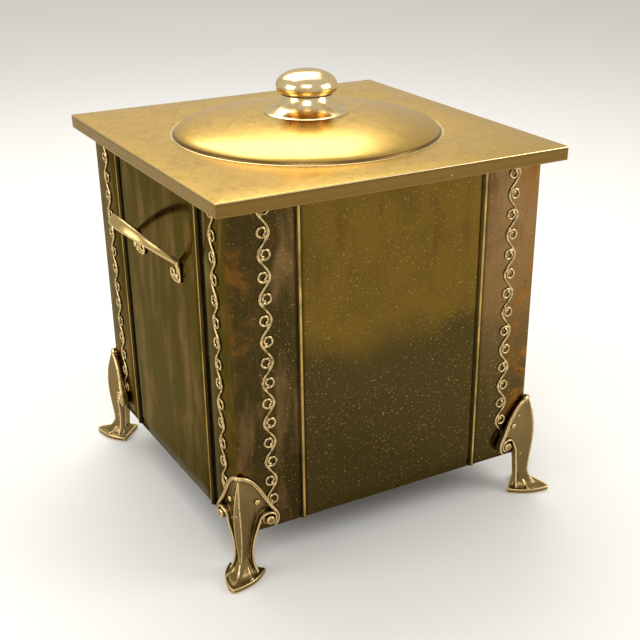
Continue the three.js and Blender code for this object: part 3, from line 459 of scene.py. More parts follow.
def sheet_brass_panels(finish, bead_place):
    """Rolled sheet brass, polished long ago and tarnished since.

    The eye sees a dark gold mirror that turns olive below a wavy tide line, tan on one side,
    pale pinhead specks where the lacquer broke and orange patches near the corners. A
    painted highlight runs along the beads' crowns, with painted shade beside them and next
    to the raised work.
    """
    material, add = new_material("tarnished rolled sheet brass")
    place = add('ShaderNodeTexCoord', {}, 'Object')
    x, y, z = add('ShaderNodeSeparateXYZ', {"Vector": place}).node.outputs
    clouds = add('ShaderNodeTexNoise', {
        "Vector": place, "Scale": 1 / (75 * MM), "Detail": 1.5, "Roughness": 0.6})
    patches = add('ShaderNodeTexNoise', {
        "Vector": place, "Scale": 1 / (42 * MM), "Detail": 5.0, "Roughness": 0.6,
        "Distortion": 0.6})
    runs = add('ShaderNodeMapping', {"Vector": place, "Scale": (1.0, 1.0, 0.25)})

    # the tide line lies about 215 mm up and wanders some 15 mm up and down
    tide = add('ShaderNodeMath', {"operation": 'MULTIPLY_ADD', 0: clouds, 1: -70 * MM, 2: z})
    base = tinted(add, finish.panel_low, finish.panel, (tide, 158 * MM, 200 * MM))

    # the left is olive with upright tan streaks; on the left face this dark olive is a painted dark
    # reflection
    upright_streaks = add('ShaderNodeTexNoise', {
        "Vector": runs, "Scale": 1 / (26 * MM), "Detail": 3.0, "Roughness": 0.6,
        "Distortion": 0.3})
    olive = tinted(add, finish.panel_olive_and_shade, finish.panel_tan, (upright_streaks, 0.48, 0.72), 0.6)
    base = tinted(add, olive, base, (x, -99 * MM, -95 * MM))

    # the right stretch of the front is tan, and dull patches lie all over
    base = tinted(add, base, finish.panel_tan, (x, 94 * MM, 99 * MM),
                  (tide, 40 * MM, 300 * MM))
    base = tinted(add, base, finish.panel_low, (patches, 0.4, 0.75), 0.35)

    # upright rusty stains where damp ran down from under the lid
    stains = add('ShaderNodeTexNoise', {
        "Vector": runs, "Scale": 1 / (18 * MM), "Detail": 4.0, "Roughness": 0.6,
        "Distortion": 0.4})
    base = tinted(add, base, finish.panel_stain, (stains, 0.5, 0.72),
                  (z, 180 * MM, 350 * MM), 0.55)

    # across is how far a point lies from the middle of its face
    from_middle = [add('ShaderNodeMath', {"operation": 'ABSOLUTE', 0: side}) for side in (x, y)]
    across = add('ShaderNodeMath', {"operation": 'MINIMUM', 0: from_middle[0],
                                    1: from_middle[1]})
    base = tinted(add, base, finish.panel_warm, (across, 128 * MM, 164 * MM),
                  (patches, 0.46, 0.66), (x, -330 * MM, 120 * MM))

    # pinhead specks: a scatter of 1 to 2 mm ones over finer ones, thicker in some places
    scatter = add('ShaderNodeTexNoise', {
        "Vector": place, "Scale": 1 / (85 * MM), "Detail": 2.0, "Roughness": 0.6})
    speck = add('ShaderNodeMath', {"operation": 'MAXIMUM',
                                   0: specks(add, place, 3.3 * MM, 0.3, 0.22),
                                   1: specks(add, place, 1.9 * MM, 0.3, 0.25)})
    speck = cover_of(add, speck, (scatter, 0.22, 0.5), (x, -240 * MM, -60 * MM))
    base = tinted(add, base, finish.speck, speck, 0.8)
    base = tinted(add, base, finish.recess_tarnish_and_shade, specks(add, place, 9 * MM, 0.6, 0.1))

    # painted shade beside the beads, and a painted highlight along their crowns
    from_bead = add('ShaderNodeMath', {"operation": 'SUBTRACT', 0: across, 1: bead_place})
    from_bead = add('ShaderNodeMath', {"operation": 'ABSOLUTE', 0: from_bead})
    base = tinted(add, base, finish.recess_tarnish_and_shade, (from_bead, 6.5 * MM, 3.0 * MM), 0.65)
    bead_highlight_strength = add('ShaderNodeMapRange', {"Value": patches, "From Min": 0.35, "From Max": 0.65,
                                         "To Min": 1.0, "To Max": 0.35})
    base = tinted(add, base, finish.bead, (from_bead, 1.5 * MM, 0.7 * MM), bead_highlight_strength)
    # painted shade next to the strips, feet and beads, from ambient occlusion
    openness = add('ShaderNodeAmbientOcclusion', {"samples": 8, "Distance": 3 * MM}, "AO")
    base = tinted(add, finish.recess_tarnish_and_shade, base, (openness, 0.2, 0.6))

    roughness = add('ShaderNodeMapRange', {"Value": patches, "From Min": 0.3, "From Max": 0.7,
                                           "To Min": 0.1, "To Max": 0.2})
    roughness = add('ShaderNodeMath', {"operation": 'MULTIPLY_ADD', 0: speck, 1: 0.3,
                                       2: roughness})
    # upright polishing scratches; real ones are finer, and are drawn wider to show
    stretched = add('ShaderNodeMapping', {"Vector": place, "Scale": (1.0, 1.0, 0.08)})
    scratches = add('ShaderNodeTexNoise', {
        "Vector": stretched, "Scale": 1 / (1.2 * MM), "Detail": 3.0, "Roughness": 0.6})
    waves = add('ShaderNodeTexNoise', {
        "Vector": place, "Scale": 1 / (35 * MM), "Detail": 1.5, "Roughness": 0.6})
    bump = add('ShaderNodeBump', {"Strength": 0.05, "Distance": 0.05 * MM,
                                  "Height": scratches})
    bump = add('ShaderNodeBump', {"Strength": 0.3, "Distance": 0.5 * MM, "Height": waves,
                                  "Normal": bump})
    finish_metal(add, base, roughness, bump, finish.grazing_dark)
    return material


def sheet_brass_lid(finish, dome_radius):
    """Pressed sheet brass kept bright by handling, with some of its lacquer left.

    The eye sees a warm satin gold with soft broad highlights, fine dark pits and wipe marks,
    duller down the folded edge and in the line round the dome.
    """
    material, add = new_material("polished pressed sheet brass")
    place = add('ShaderNodeTexCoord', {}, 'Object')
    height = add('ShaderNodeSeparateXYZ', {"Vector": place}, "Z")
    clouds = add('ShaderNodeTexNoise', {
        "Vector": place, "Scale": 1 / (70 * MM), "Detail": 4.0, "Roughness": 0.6})
    base = tinted(add, finish.lid, finish.lid_dull, (clouds, 0.35, 0.7))
    # the line round the dome is drawn darker
    level = add('ShaderNodeVectorMath', {"operation": 'MULTIPLY', 0: place, 1: (1, 1, 0)})
    from_axis = add('ShaderNodeVectorMath', {"operation": 'LENGTH', 0: level}, "Value")
    from_quirk = add('ShaderNodeMath', {"operation": 'SUBTRACT', 0: from_axis,
                                        1: dome_radius})
    from_quirk = add('ShaderNodeMath', {"operation": 'ABSOLUTE', 0: from_quirk})
    base = tinted(add, finish.lid_quirk, base, (from_quirk, 1.0 * MM, 1.9 * MM))

    # a painted highlight runs along the folded arris, and the turned-down edge below it is drawn
    # darker
    base = tinted(add, finish.turned, base, (height, LID_TOP - 0.5 * MM, LID_TOP - 0.2 * MM))
    base = tinted(add, finish.lid_edge_and_shade, base,
                  (height, LID_TOP - 1.3 * MM, LID_TOP - 0.8 * MM))
    base = tinted(add, base, finish.panel_low, specks(add, place, 6 * MM, 0.6, 0.1))
    base = tinted(add, base, finish.turned, specks(add, place, 8 * MM, 0.5, 0.09), 0.6)
    # painted shade in the lid's tight corners, from ambient occlusion
    openness = add('ShaderNodeAmbientOcclusion', {"samples": 8, "Distance": 3 * MM}, "AO")
    base = tinted(add, finish.lid_edge_and_shade, base, (openness, 0.3, 0.75))

    wipes = add('ShaderNodeTexNoise', {
        "Vector": place, "Scale": 1 / (14 * MM), "Detail": 6.0, "Roughness": 0.6,
        "Distortion": 1.2})
    roughness = add('ShaderNodeMapRange', {"Value": wipes, "From Min": 0.35, "From Max": 0.7,
                                           "To Min": 0.26, "To Max": 0.33})
    bump = add('ShaderNodeBump', {"Strength": 0.1, "Distance": 0.3 * MM, "Height": clouds})
    finish_metal(add, base, roughness, bump, finish.grazing, lacquer=0.3)
    return material


def turned_brass(finish):
    """Brass turned on a lathe, buffed and lacquered.

    The eye sees a pale gold mirror with sharp white windows and faint turning rings.
    """
    material, add = new_material("turned and buffed brass")
    place = add('ShaderNodeTexCoord', {}, 'Object')
    clouds = add('ShaderNodeTexNoise', {
        "Vector": place, "Scale": 1 / (16 * MM), "Detail": 4.0, "Roughness": 0.6})
    base = tinted(add, finish.turned, finish.lid, (clouds, 0.45, 0.8))
    # painted shade in the knob's tight corners, from ambient occlusion
    openness = add('ShaderNodeAmbientOcclusion', {"samples": 8, "Distance": 6 * MM}, "AO")
    base = tinted(add, finish.lid_edge_and_shade, base, (openness, 0.15, 0.6))
    # turning rings: real ones are finer, and are drawn 0.7 mm wide to show at all
    flattened = add('ShaderNodeMapping', {"Vector": place, "Scale": (0.02, 0.02, 1.0)})
    rings = add('ShaderNodeTexNoise', {
        "Vector": flattened, "Scale": 1 / (0.7 * MM), "Detail": 2.0, "Roughness": 0.6})
    roughness = add('ShaderNodeMapRange', {"Value": clouds, "From Min": 0.3, "From Max": 0.7,
                                           "To Min": 0.15, "To Max": 0.2})
    bump = add('ShaderNodeBump', {"Strength": 0.08, "Distance": 0.02 * MM, "Height": rings})
    finish_metal(add, base, roughness, bump, finish.grazing, lacquer=0.3)
    return material


def cast_brass(finish, name, skin):
    """Sand-cast brass, filed and rubbed, its open surface of the skin's colour.

    The eye sees ridges and edges rubbed bright, partly as painted highlight, a darkened skin
    between them and brown tarnish with painted shade in every hollow, with small casting pits.
    """
    material, add = new_material(name)
    place = add('ShaderNodeTexCoord', {}, 'Object')
    mottle = add('ShaderNodeTexNoise', {
        "Vector": place, "Scale": 1 / (9 * MM), "Detail": 5.0, "Roughness": 0.6})
    # tarnish and painted shade in the hollows: worn is the ambient occlusion with a little mottle
    openness = add('ShaderNodeAmbientOcclusion',
                   {"samples": 8, "only_local": True, "Distance": 8 * MM}, "AO")
    worn = add('ShaderNodeMath', {"operation": 'MULTIPLY_ADD', 0: mottle, 1: 0.3, 2: openness})
    base = tinted(add, finish.recess_tarnish_and_shade, skin, (worn, 0.5, 1.0))
    # edges and ridges rubbed bright, the threshold set low so the strap and roll also carry a
    # painted highlight
    edges = add('ShaderNodeNewGeometry', {}, 'Pointiness')
    base = tinted(add, base, finish.rubbed, (edges, 0.501, 0.526))
    pits = add('ShaderNodeTexVoronoi', {"Vector": place, "Scale": 1 / (4.2 * MM)})
    between_pits = cover_of(add, (pits, 0.05, 0.16))
    base = tinted(add, finish.recess_tarnish_and_shade, base, between_pits)
    roughness = add('ShaderNodeMapRange', {"Value": mottle, "From Min": 0.3, "From Max": 0.7,
                                           "To Min": 0.2, "To Max": 0.33})
    bump = add('ShaderNodeBump', {"Strength": 0.25, "Distance": 0.2 * MM, "Height": mottle})
    bump = add('ShaderNodeBump', {"Strength": 0.5, "Distance": 0.15 * MM,
                                  "Height": between_pits, "Normal": bump})
    finish_metal(add, base, roughness, bump, finish.grazing, tarnish=0.1)
    return material


def stamped_brass(finish):
    """Thin brass strip stamped over a die, its raised line polished.

    The eye sees a bright wiry line with painted shade at its roots.
    """
    material, add = new_material("stamped rubbed brass")
    place = add('ShaderNodeTexCoord', {}, 'Object')
    mottle = add('ShaderNodeTexNoise', {
        "Vector": place, "Scale": 1 / (5 * MM), "Detail": 4.0, "Roughness": 0.6})
    x, y, _ = add('ShaderNodeSeparateXYZ', {"Vector": place}).node.outputs
    from_middle = [add('ShaderNodeMath', {"operation": 'ABSOLUTE', 0: side}) for side in (x, y)]
    out = add('ShaderNodeMath', {"operation": 'MAXIMUM', 0: from_middle[0],
                                 1: from_middle[1]})
    base = tinted(add, finish.rubbed, finish.cast, (mottle, 0.35, 0.75))
    # painted shade at the line's roots, next to the panel
    base = tinted(add, finish.recess_tarnish_and_shade, base, (out, HALF + 0.55 * MM, HALF + 1.35 * MM))
    roughness = add('ShaderNodeMapRange', {"Value": mottle, "From Min": 0.3, "From Max": 0.7,
                                           "To Min": 0.14, "To Max": 0.26})
    bump = add('ShaderNodeBump', {"Strength": 0.2, "Distance": 0.1 * MM, "Height": mottle})
    finish_metal(add, base, roughness, bump, finish.grazing)
    return material


def inner_steel(name, dark, light, roughness, tarnish):
    """Mild steel with a fine mottle.

    Blacked sheet gives the eye a matt, nearly black grey, and zinc plate a pale satin one.
    """
    material, add = new_material(name)
    place = add('ShaderNodeTexCoord', {}, 'Object')
    mottle = add('ShaderNodeTexNoise', {
        "Vector": place, "Scale": 1 / (22 * MM), "Detail": 6.0, "Roughness": 0.6})
    base = tinted(add, dark, light, (mottle, 0.35, 0.65))
    rough = add('ShaderNodeMapRange', {
        "Value": mottle, "From Min": 0.3, "From Max": 0.7,
        "To Min": roughness - 0.06, "To Max": roughness + 0.08})
    bump = add('ShaderNodeBump', {"Strength": 0.2, "Distance": 0.15 * MM, "Height": mottle})
    finish_metal(add, base, rough, bump, (1, 1, 1), tarnish=tarnish)
    return material


def material_named(name, maker, *arguments):
    """The material of that name, made once."""
    return bpy.data.materials.get(name) or maker(*arguments)


def panels_finish(context):
    bead_place = HALF - context.scene.coal_box_body.bead_inset
    return material_named("tarnished rolled sheet brass", sheet_brass_panels,
                          context.scene.coal_box_finish, bead_place)


def lid_finish(context):
    return material_named("polished pressed sheet brass", sheet_brass_lid,
                          context.scene.coal_box_finish,
                          context.scene.coal_box_lid.dome_radius)


def turned_finish(context):
    return material_named("turned and buffed brass", turned_brass,
                          context.scene.coal_box_finish)


def cast_finish(context):
    name, finish = "sand-cast rubbed brass", context.scene.coal_box_finish
    return material_named(name, cast_brass, finish, name, finish.cast)


# a lighter copy of the cast finish for the handles: partly hand wear, partly painted light
def handled_and_lit_finish(context):
    name, finish = "sand-cast brass worn by hands", context.scene.coal_box_finish
    return material_named(name, cast_brass, finish, name, finish.handled_and_lit)


def stamped_finish(context):
    return material_named("stamped rubbed brass", stamped_brass,
                          context.scene.coal_box_finish)


# ---------------------------------------------------------------- body

def body_columns(body):
    """Places across one face, from its left corner to its right, each with its bead height."""
    edge = HALF - body.corner_radius
    bead = HALF - body.bead_inset
    half = body.bead_width / 2
    quirk = 0.22 * MM            # depth of the line pressed in beside a bead
    foot, reach = 7, 10          # steps from a bead's crown to its foot and past its quirk
    crown = []
    for k in range(-reach, reach + 1):
        t = k / foot
        if abs(t) <= 1:
            rise = BEAD_RISE * math.sqrt(1 - t * t)
        else:
            rise = -quirk * math.sin(math.pi * (abs(t) - 1) / ((reach - foot) / foot))
        crown.append((t * half, rise))
    outer = [(edge - (edge - bead) * share, 0.0) for share in (0.6, 0.33, 0)]
    inner = bead - half * reach / foot
    columns = [(-x, rise) for x, rise in reversed(outer)]
    columns += [(-bead + x, rise) for x, rise in crown]
    columns += [(lerp(-inner, inner, k / 18), 0.0) for k in range(1, 18)]
    columns += [(bead + x, rise) for x, rise in crown]
    return columns + outer


def body_ring(body, inset, z, hem=False):
    """One level ring round the body, set in from its outer face.

    The panels between the beads stray a little from flat, most at their middles.
    """
    ring = []
    radius = max(body.corner_radius - inset, 0.3 * MM)
    panel_edge = HALF - body.bead_inset - body.bead_width
    wave_across, wave_up = 110 * MM, 130 * MM
    up = min(1, max(0, (z - BODY_BOTTOM) / (BODY_TOP - BODY_BOTTOM)))
    for face in range(4):
        turn = Matrix.Rotation(face * math.pi / 2, 3, 'Z')
        for x, rise in body_columns(body):
            wander = 0.0
            if abs(x) < panel_edge and not hem:
                freedom = (1 - (x / panel_edge) ** 4) * math.sin(math.pi * up) ** 0.5
                wander = body.wander * freedom * noise.noise(
                    Vector((x / wave_across + 3 * face, face * 5.3, z / wave_up)))
            lift = 0.0 if hem else rise
            ring.append(turn @ Vector((x, -(HALF - inset + lift + wander), z)))
        centre = HALF - max(inset, 0) - radius
        for k in range(1, 8):
            angle = -math.pi / 2 + k / 8 * math.pi / 2
            ring.append(turn @ Vector((centre + radius * math.cos(angle),
                                       -centre + radius * math.sin(angle), z)))
    return ring


class COALBOX_OT_body(Operator):
    """Folds the beaded sheet brass body"""
    bl_idname = "coal_box.body"
    bl_label = "Body"

    def execute(self, context):
        body = context.scene.coal_box_body
        levels = [lerp(BODY_BOTTOM, BODY_TOP, k / 24) for k in range(25)]
        # the outside, from its eased lower edge up to where the mouth's fold starts
        easing, fold = 0.3 * MM, 0.9 * MM
        rings = [body_ring(body, easing, BODY_BOTTOM)]
        rings += [body_ring(body, 0, BODY_BOTTOM + 0.4 * MM)]
        rings += [body_ring(body, 0, z) for z in levels[1:-1]]
        rings += [body_ring(body, 0, BODY_TOP - fold)]
        # over the fold and down the hem, which lies flat against the sheet, then the inside
        hem = body.sheet * 2
        rings += [body_ring(body, hem / 2, BODY_TOP, hem=True)]
        rings += [body_ring(body, hem, z, hem=True)
                  for z in (BODY_TOP - fold, BODY_TOP - body.hem_depth)]
        rings += [body_ring(body, body.sheet, z) for z in reversed(levels[1:-1])]
        rings += [body_ring(body, body.sheet, BODY_BOTTOM)]
        bm = bmesh.new()
        add_loft(bm, rings, looped=True)
        piece = finished("body_folded_sheet", bm, panels_finish(context))
        settle(piece, "box", "aged_sheet_brass", "body_shell")
        return {'FINISHED'}


# ---------------------------------------------------------------- lid and knob

def square_loop(half, radius, per_side=32, per_corner=8):
    """Points round a square with rounded corners, from the start of its first corner."""
    loop = []
    for corner in range(4):
        middle = math.pi / 4 + corner * math.pi / 2
        cx = math.copysign(half - radius, math.cos(middle))
        cy = math.copysign(half - radius, math.sin(middle))
        for k in range(per_corner + 1):
            angle = middle + (k / per_corner - 0.5) * math.pi / 2
            loop.append((cx + radius * math.cos(angle), cy + radius * math.sin(angle)))
        last_x, last_y = loop[-1]
        first_x, first_y = loop[-1 - per_corner]
        next_x, next_y = -first_y, first_x       # where the next corner starts
        loop += [(lerp(last_x, next_x, k / per_side), lerp(last_y, next_y, k / per_side))
                 for k in range(1, per_side)]
    return loop


def circle_loop(radius, per_side=32, per_corner=8):
    """Points round a circle that pair with square_loop's."""
    count = 4 * (per_side + per_corner)
    angles = [math.pi / 4 + (i - per_corner / 2) / count * 2 * math.pi for i in range(count)]
    return [(radius * math.cos(angle), radius * math.sin(angle)) for angle in angles]


def dome_run(lid):
    """The dome from its quirk line in to the stud hole, as (radius, height above the flat)."""
    # millimetres in from the dome's edge, and up from the flat
    quirk = [(-4.6, 0), (-3.2, -0.15), (-1.6, -0.6), (-0.5, -0.2)]
    shoulder = [(0.5, 1.2), (2.2, 3.0), (5.5, 5.1), (11, 7.4), (19, 9.8), (30, 12.2),
                (44, 14.5), (60, 16.5)]
    top = DOME_RISE / MM
    crown = [(76, top - 0.7), (90, top - 0.05)]
    run = smooth_run([(lid.dome_radius - inward * MM, height * MM)
                      for inward, height in quirk + shoulder + crown], 4)
    return run + [(lid.dome_radius * 0.2, DOME_RISE), (lid.stud_hole, DOME_RISE)]


class COALBOX_OT_lid(Operator):
    """Presses the lid with its turned-down edge and raised dome"""
    bl_idname = "coal_box.lid"
    bl_label = "Lid"

    def execute(self, context):
        lid = context.scene.coal_box_lid
        half = LID_HIGH.x
        fold = lid.fold_radius
        # the upper face, from the stud's hole out over the dome and the flat to the fold
        rows = []
        for radius, height in reversed(dome_run(lid)):
            rows.append([(x, y, LID_TOP + height) for x, y in circle_loop(radius)])
        flat_edge = [(x, y, LID_TOP) for x, y in square_loop(half - fold, 0.4 * MM)]
        middle = [tuple((a + b) / 2 for a, b in zip(p, q)) for p, q in zip(rows[-1], flat_edge)]
        rows += [middle, flat_edge]
        for k in range(1, 6):
            angle = k / 5 * math.pi / 2
            inset = fold * (1 - math.sin(angle))
            rows.append([(x, y, LID_TOP - fold * (1 - math.cos(angle)))
                         for x, y in square_loop(half - inset, max(fold - inset, 0.5 * MM))])
        # down the folded edge and round its lip
        lip = LID_LOW.z
        for inset, z in ((0, LID_TOP - 5 * MM), (0.1 * MM, lip + 1.6 * MM), (0, lip + 0.5 * MM),
                         (0.3 * MM, lip), (lid.sheet - 0.2 * MM, lip)):
            rows.append([(x, y, z) for x, y in square_loop(half - inset, fold)])
        # the under face, a sheet's thickness below the upper one
        for z in (lip + 0.5 * MM, LID_TOP - 3 * MM, LID_TOP - lid.sheet):
            rows.append([(x, y, z) for x, y in square_loop(half - lid.sheet, fold - lid.sheet / 2)])
        for radius, height in dome_run(lid):
            rows.append([(x, y, LID_TOP + height - lid.sheet) for x, y in circle_loop(radius)])
        bm = bmesh.new()
        add_loft(bm, rows, looped=True)
        piece = finished("lid_pressed_sheet", bm, lid_finish(context), 50)
        settle(piece, "lid", "polished_sheet_brass", "lid_pressing")
        return {'FINISHED'}


class COALBOX_OT_knob(Operator):
    """Turns the mushroom knob with its flared neck"""
    bl_idname = "coal_box.knob"
    bl_label = "Knob"

    def execute(self, context):
        knob = context.scene.coal_box_knob
        foot, top = KNOB_LOW.z, KNOB_HIGH.z
        bottom = top - knob.ball_height
        middle = bottom + knob.ball_height * 0.35
        hole = context.scene.coal_box_lid.stud_hole
        profile = [(0, foot + 20 * MM), (hole, foot + 20 * MM), (hole, foot),
                   (knob.skirt_radius - 2 * MM, foot),
                   (knob.skirt_radius - 0.3 * MM, foot - 0.22 * MM),
                   (knob.skirt_radius, foot - 0.1 * MM),
                   (knob.skirt_radius - 0.7 * MM, foot + 0.3 * MM)]
        flare = bottom - foot
        spread = knob.skirt_radius - knob.neck_radius
        profile += smooth_run([
            (knob.neck_radius + spread * 0.88, foot + flare * 0.06),
            (knob.neck_radius + spread * 0.64, foot + flare * 0.15),
            (knob.neck_radius + spread * 0.4, foot + flare * 0.3),
            (knob.neck_radius + spread * 0.19, foot + flare * 0.53),
            (knob.neck_radius + spread * 0.05, foot + flare * 0.8),
            (knob.neck_radius, foot + flare * 0.99)], 5)
        profile += [(knob.neck_radius + 0.3 * MM, bottom + 0.5 * MM),
                    (knob.ball_radius * 0.85, bottom + 0.55 * MM)]
        for degrees in range(-66, 90, 6):
            angle = math.radians(degrees)
            rise = middle - bottom if degrees < 0 else top - middle
            power = 0.26 if degrees < 0 else 0.82
            profile.append((knob.ball_radius * math.cos(angle) ** power,
                            middle + rise * math.sin(angle)))
        profile.append((0, top))
        bm = bmesh.new()
        add_revolve(bm, profile, knob.segments)
        piece = finished("knob_turned", bm, turned_finish(context), 50)
        settle(piece, "lid", "polished_sheet_brass", "knob")
        return {'FINISHED'}


# ---------------------------------------------------------------- feet
# A foot is drawn in millimetres from the body's corner: x along the front face, y out of it
# (negative) and z up from the floor.

OTHER_FACE = Matrix(((0, 1, 0, 0), (1, 0, 0, 0), (0, 0, 1, 0), (0, 0, 0, 1)))


def on_diagonal(w, d, z):
    """A point given by w across the corner's diagonal and d out along it."""
    return ((w - d) * math.sqrt(0.5), -(w + d) * math.sqrt(0.5), z)


def across_corner(points):
    """The same points on the other face of the corner."""
    return [(y, x, z) for x, y, z in points]


def add_face_bands(bm, run, power):
    """Sweeps a run of (x, y, z, width, depth) over the front face and over the other face."""
    for turned in (False, True):
        path = [point[:3] for point in run]
        out = [(-0.6, -0.6, 0.4) if x < 0.5 else (0, -1, 0) for x, _, _ in path]
        if turned:
            path, out = across_corner(path), across_corner(out)
        add_band(bm, [Vector(p) * MM for p in path], out,
                 [point[3] * MM for point in run], [point[4] * MM for point in run], power)


def add_strap(bm, eye, arch_top):
    """The rounded strap that arches over the corner and ends round the volute."""
    ez = eye[1]
    rise = arch_top - ez
    add_face_bands(bm, smooth_run([
        # x, y, z, width and depth
        (-2.4, -2.4, arch_top - 1.95, 4.0, 3.4), (0.4, -3.3, arch_top - 2.05, 4.0, 3.8),
        (3.6, -3.7, arch_top - 3.2, 4.1, 4.2), (7.2, -3.8, arch_top - 5.6, 4.2, 4.4),
        (11.7, -3.9, ez + rise * 0.80, 4.2, 4.5), (16.7, -4.1, ez + rise * 0.662, 4.3, 4.6),
        (21.4, -4.4, ez + rise * 0.502, 4.3, 5.0), (25.2, -5.0, ez + rise * 0.362, 4.2, 5.8),
        (28.8, -5.5, ez + rise * 0.245, 4.0, 7.0), (32.0, -5.7, ez + rise * 0.152, 3.7, 7.8),
        (34.2, -5.7, ez + 3.0, 3.2, 8.0), (34.2, -5.6, ez - 1.8, 2.9, 8.0),
        (32.6, -5.4, ez - 5.6, 2.5, 7.6), (30.2, -5.2, ez - 7.4, 1.8, 7.0)], 5), 2.5)


def add_ridge_and_roll(bm, eye, radius):
    """The edge ridge that climbs the leg and rolls up into the volute, with its button."""
    eu, ez = eye
    # x, y, z, width and depth up the leg
    run = [(*on_diagonal(13.4, -1.4, 5), 2.6, 3.4), (*on_diagonal(10.2, -2.8, 11), 2.7, 3.6),
           (*on_diagonal(8.5, -3.4, 18), 2.7, 4.0), (*on_diagonal(8.4, -3.8, 27), 2.7, 4.0),
           (*on_diagonal(9.5, -4.4, 36), 2.7, 4.0), (11.4, -4.3, 44.5, 2.6, 4.8),
           (13.4, -4.7, 52, 2.5, 6.6)]
    # round the volute: the angle, the share of its radius and the depth
    for degrees, share, depth in ((166, 1.04, 7.6), (138, 0.98, 9.0), (110, 0.93, 9.8),
                                  (82, 0.88, 10), (52, 0.83, 10), (20, 0.78, 10),
                                  (-14, 0.73, 10), (-50, 0.66, 9.8), (-90, 0.57, 9.4),
                                  (-130, 0.47, 9.0)):
        angle = math.radians(degrees)
        reach = radius * share - 1.2
        run.append((eu + reach * math.cos(angle), -0.2 - depth / 2,
                    ez + reach * math.sin(angle), 2.5, depth))
    add_face_bands(bm, smooth_run(run, 4), 2.8)
    for turned in (False, True):
        place = Matrix.Rotation(math.pi / 2, 4, 'X')
        place.translation = Vector((eu, 0, ez)) * MM
        if turned:
            place = OTHER_FACE @ place
        core = radius - 3.6
        add_revolve(bm, [(r * MM, h * MM) for r, h in (
            (0, 0.3), (core, 0.3), (core, 5.6), (core - 0.8, 6.2), (4.5, 6.2), (4.2, 9.6),
            (3.5, 10.6), (1.9, 10.95), (0, 11.0))], 28, place)


def add_web(bm, eye, arch_top):
    """The thin plates on the two faces between the strap and the edge ridge."""
    eu, ez = eye
    rise = arch_top - ez
    back, front = 0.2, 2.7       # how far the plate's two sides stand off the panel
    outline = [(-3.5, arch_top - 3.5), (5, arch_top - 6), (11.5, ez + rise * 0.74),
               (17, ez + rise * 0.58), (22.5, ez + rise * 0.37), (28, ez + rise * 0.17),
               (31, ez), (eu, ez - 5.5), (15.5, 53), (11.5, 43), (8.5, 36), (-3.5, 36)]
    for turned in (False, True):
        rings = [[(u, -depth, z) for u, z in outline] for depth in (back, front)]
        if turned:
            rings = [across_corner(ring) for ring in rings]
        add_loft(bm, [[Vector(p) * MM for p in ring] for ring in rings])


def add_leaf_and_leg(bm, arch_top):
    """The lance-shaped front facet with its two hollow flanks, from the pad to the apex."""
    # height, half width and rise of the front facet, then where the flanks end
    stations = smooth_run([
        (2.5, 0.7, 15.5, 12.5, 5.0), (6.5, 0.7, 12.4, 10.0, 1.6), (10.5, 0.8, 10.3, 8.4, -1.2),
        (16, 1.0, 8.9, 7.3, -3.0), (25, 1.7, 8.4, 6.9, -3.8), (35, 2.6, 9.1, 7.6, -4.4),
        (45, 3.2, 10.1, 9.3, -5.4), (55, 3.5, 11.0, 10.5, -6.2), (65, 3.5, 11.5, 10.9, -6.6),
        (75, 3.0, 11.2, 10.8, -6.6), (84, 2.4, 10.3, 9.8, -5.8), (91, 1.9, 8.9, 8.0, -4.0),
        (97, 1.2, 7.3, 5.8, -1.7), (102, 0.7, 5.7, 3.6, 0.4), (arch_top - 3.2, 0.3, 4.0, 2.0, 1.6)
    ], 4)
    rings = []
    for z, facet, rise, w, edge in stations:
        half = [(facet * 0.5, rise - 0.1), (facet, rise - 0.25)]
        for share, hollow in ((0.12, 0.35), (0.3, 1.0), (0.55, 1.5), (0.78, 1.0), (1, 0)):
            half.append((lerp(facet, w, share), lerp(rise - 0.25, edge, share ** 0.9)
                         - hollow * lerp(2.2, 1, min(1, z / 20))))
        half.append((w * 0.8, edge - 4.4))
        section = [(0, rise)] + half + [(-a, b) for a, b in reversed(half)]
        rings.append([Vector(on_diagonal(a, b, z)) * MM for a, b in section])
    add_loft(bm, rings)


def pad_outline(steps=8):
    """The pad seen from above, as (w, d): two back corners and a pointed toe."""
    side = smooth_run([(18.3, -10.3), (18.0, -2), (16.8, 6), (14.2, 13.4), (10.2, 20.6),
                       (5.4, 27.4), (1.0, 31.4)], steps)
    back = [(w, -10.3) for w in (-12, -6, 0, 6, 12)]
    return back + side + [(-w, d) for w, d in reversed(side)]


def add_pad(bm):
    """The flat pad with its raised rim and the two ridges that part it into three lobes."""
    rings = []
    for share, z in ((0.985, 0.0), (1, 0.5), (1, 3.9), (0.99, 4.6), (0.965, 4.85), (0.935, 4.6),
                     (0.9, 4.4), (0.8, 4.8), (0.7, 5.6), (0.6, 7.1), (0.51, 9.3), (0.42, 12.6),
                     (0.33, 17), (0.22, 22)):
        ring = []
        for w, d in pad_outline():
            a, b = w * share, d * share - (1 - share) * 1.5
            aim = abs(math.degrees(math.atan2(a, b + 2)))
            crest = max(0.0, 1 - abs(aim - 44) / 9)
            ridge = 2.1 * crest if 0.5 < share < 0.93 else 0
            ring.append(Vector(on_diagonal(a, b, z + ridge)) * MM)
        rings.append(ring)
    add_loft(bm, rings)


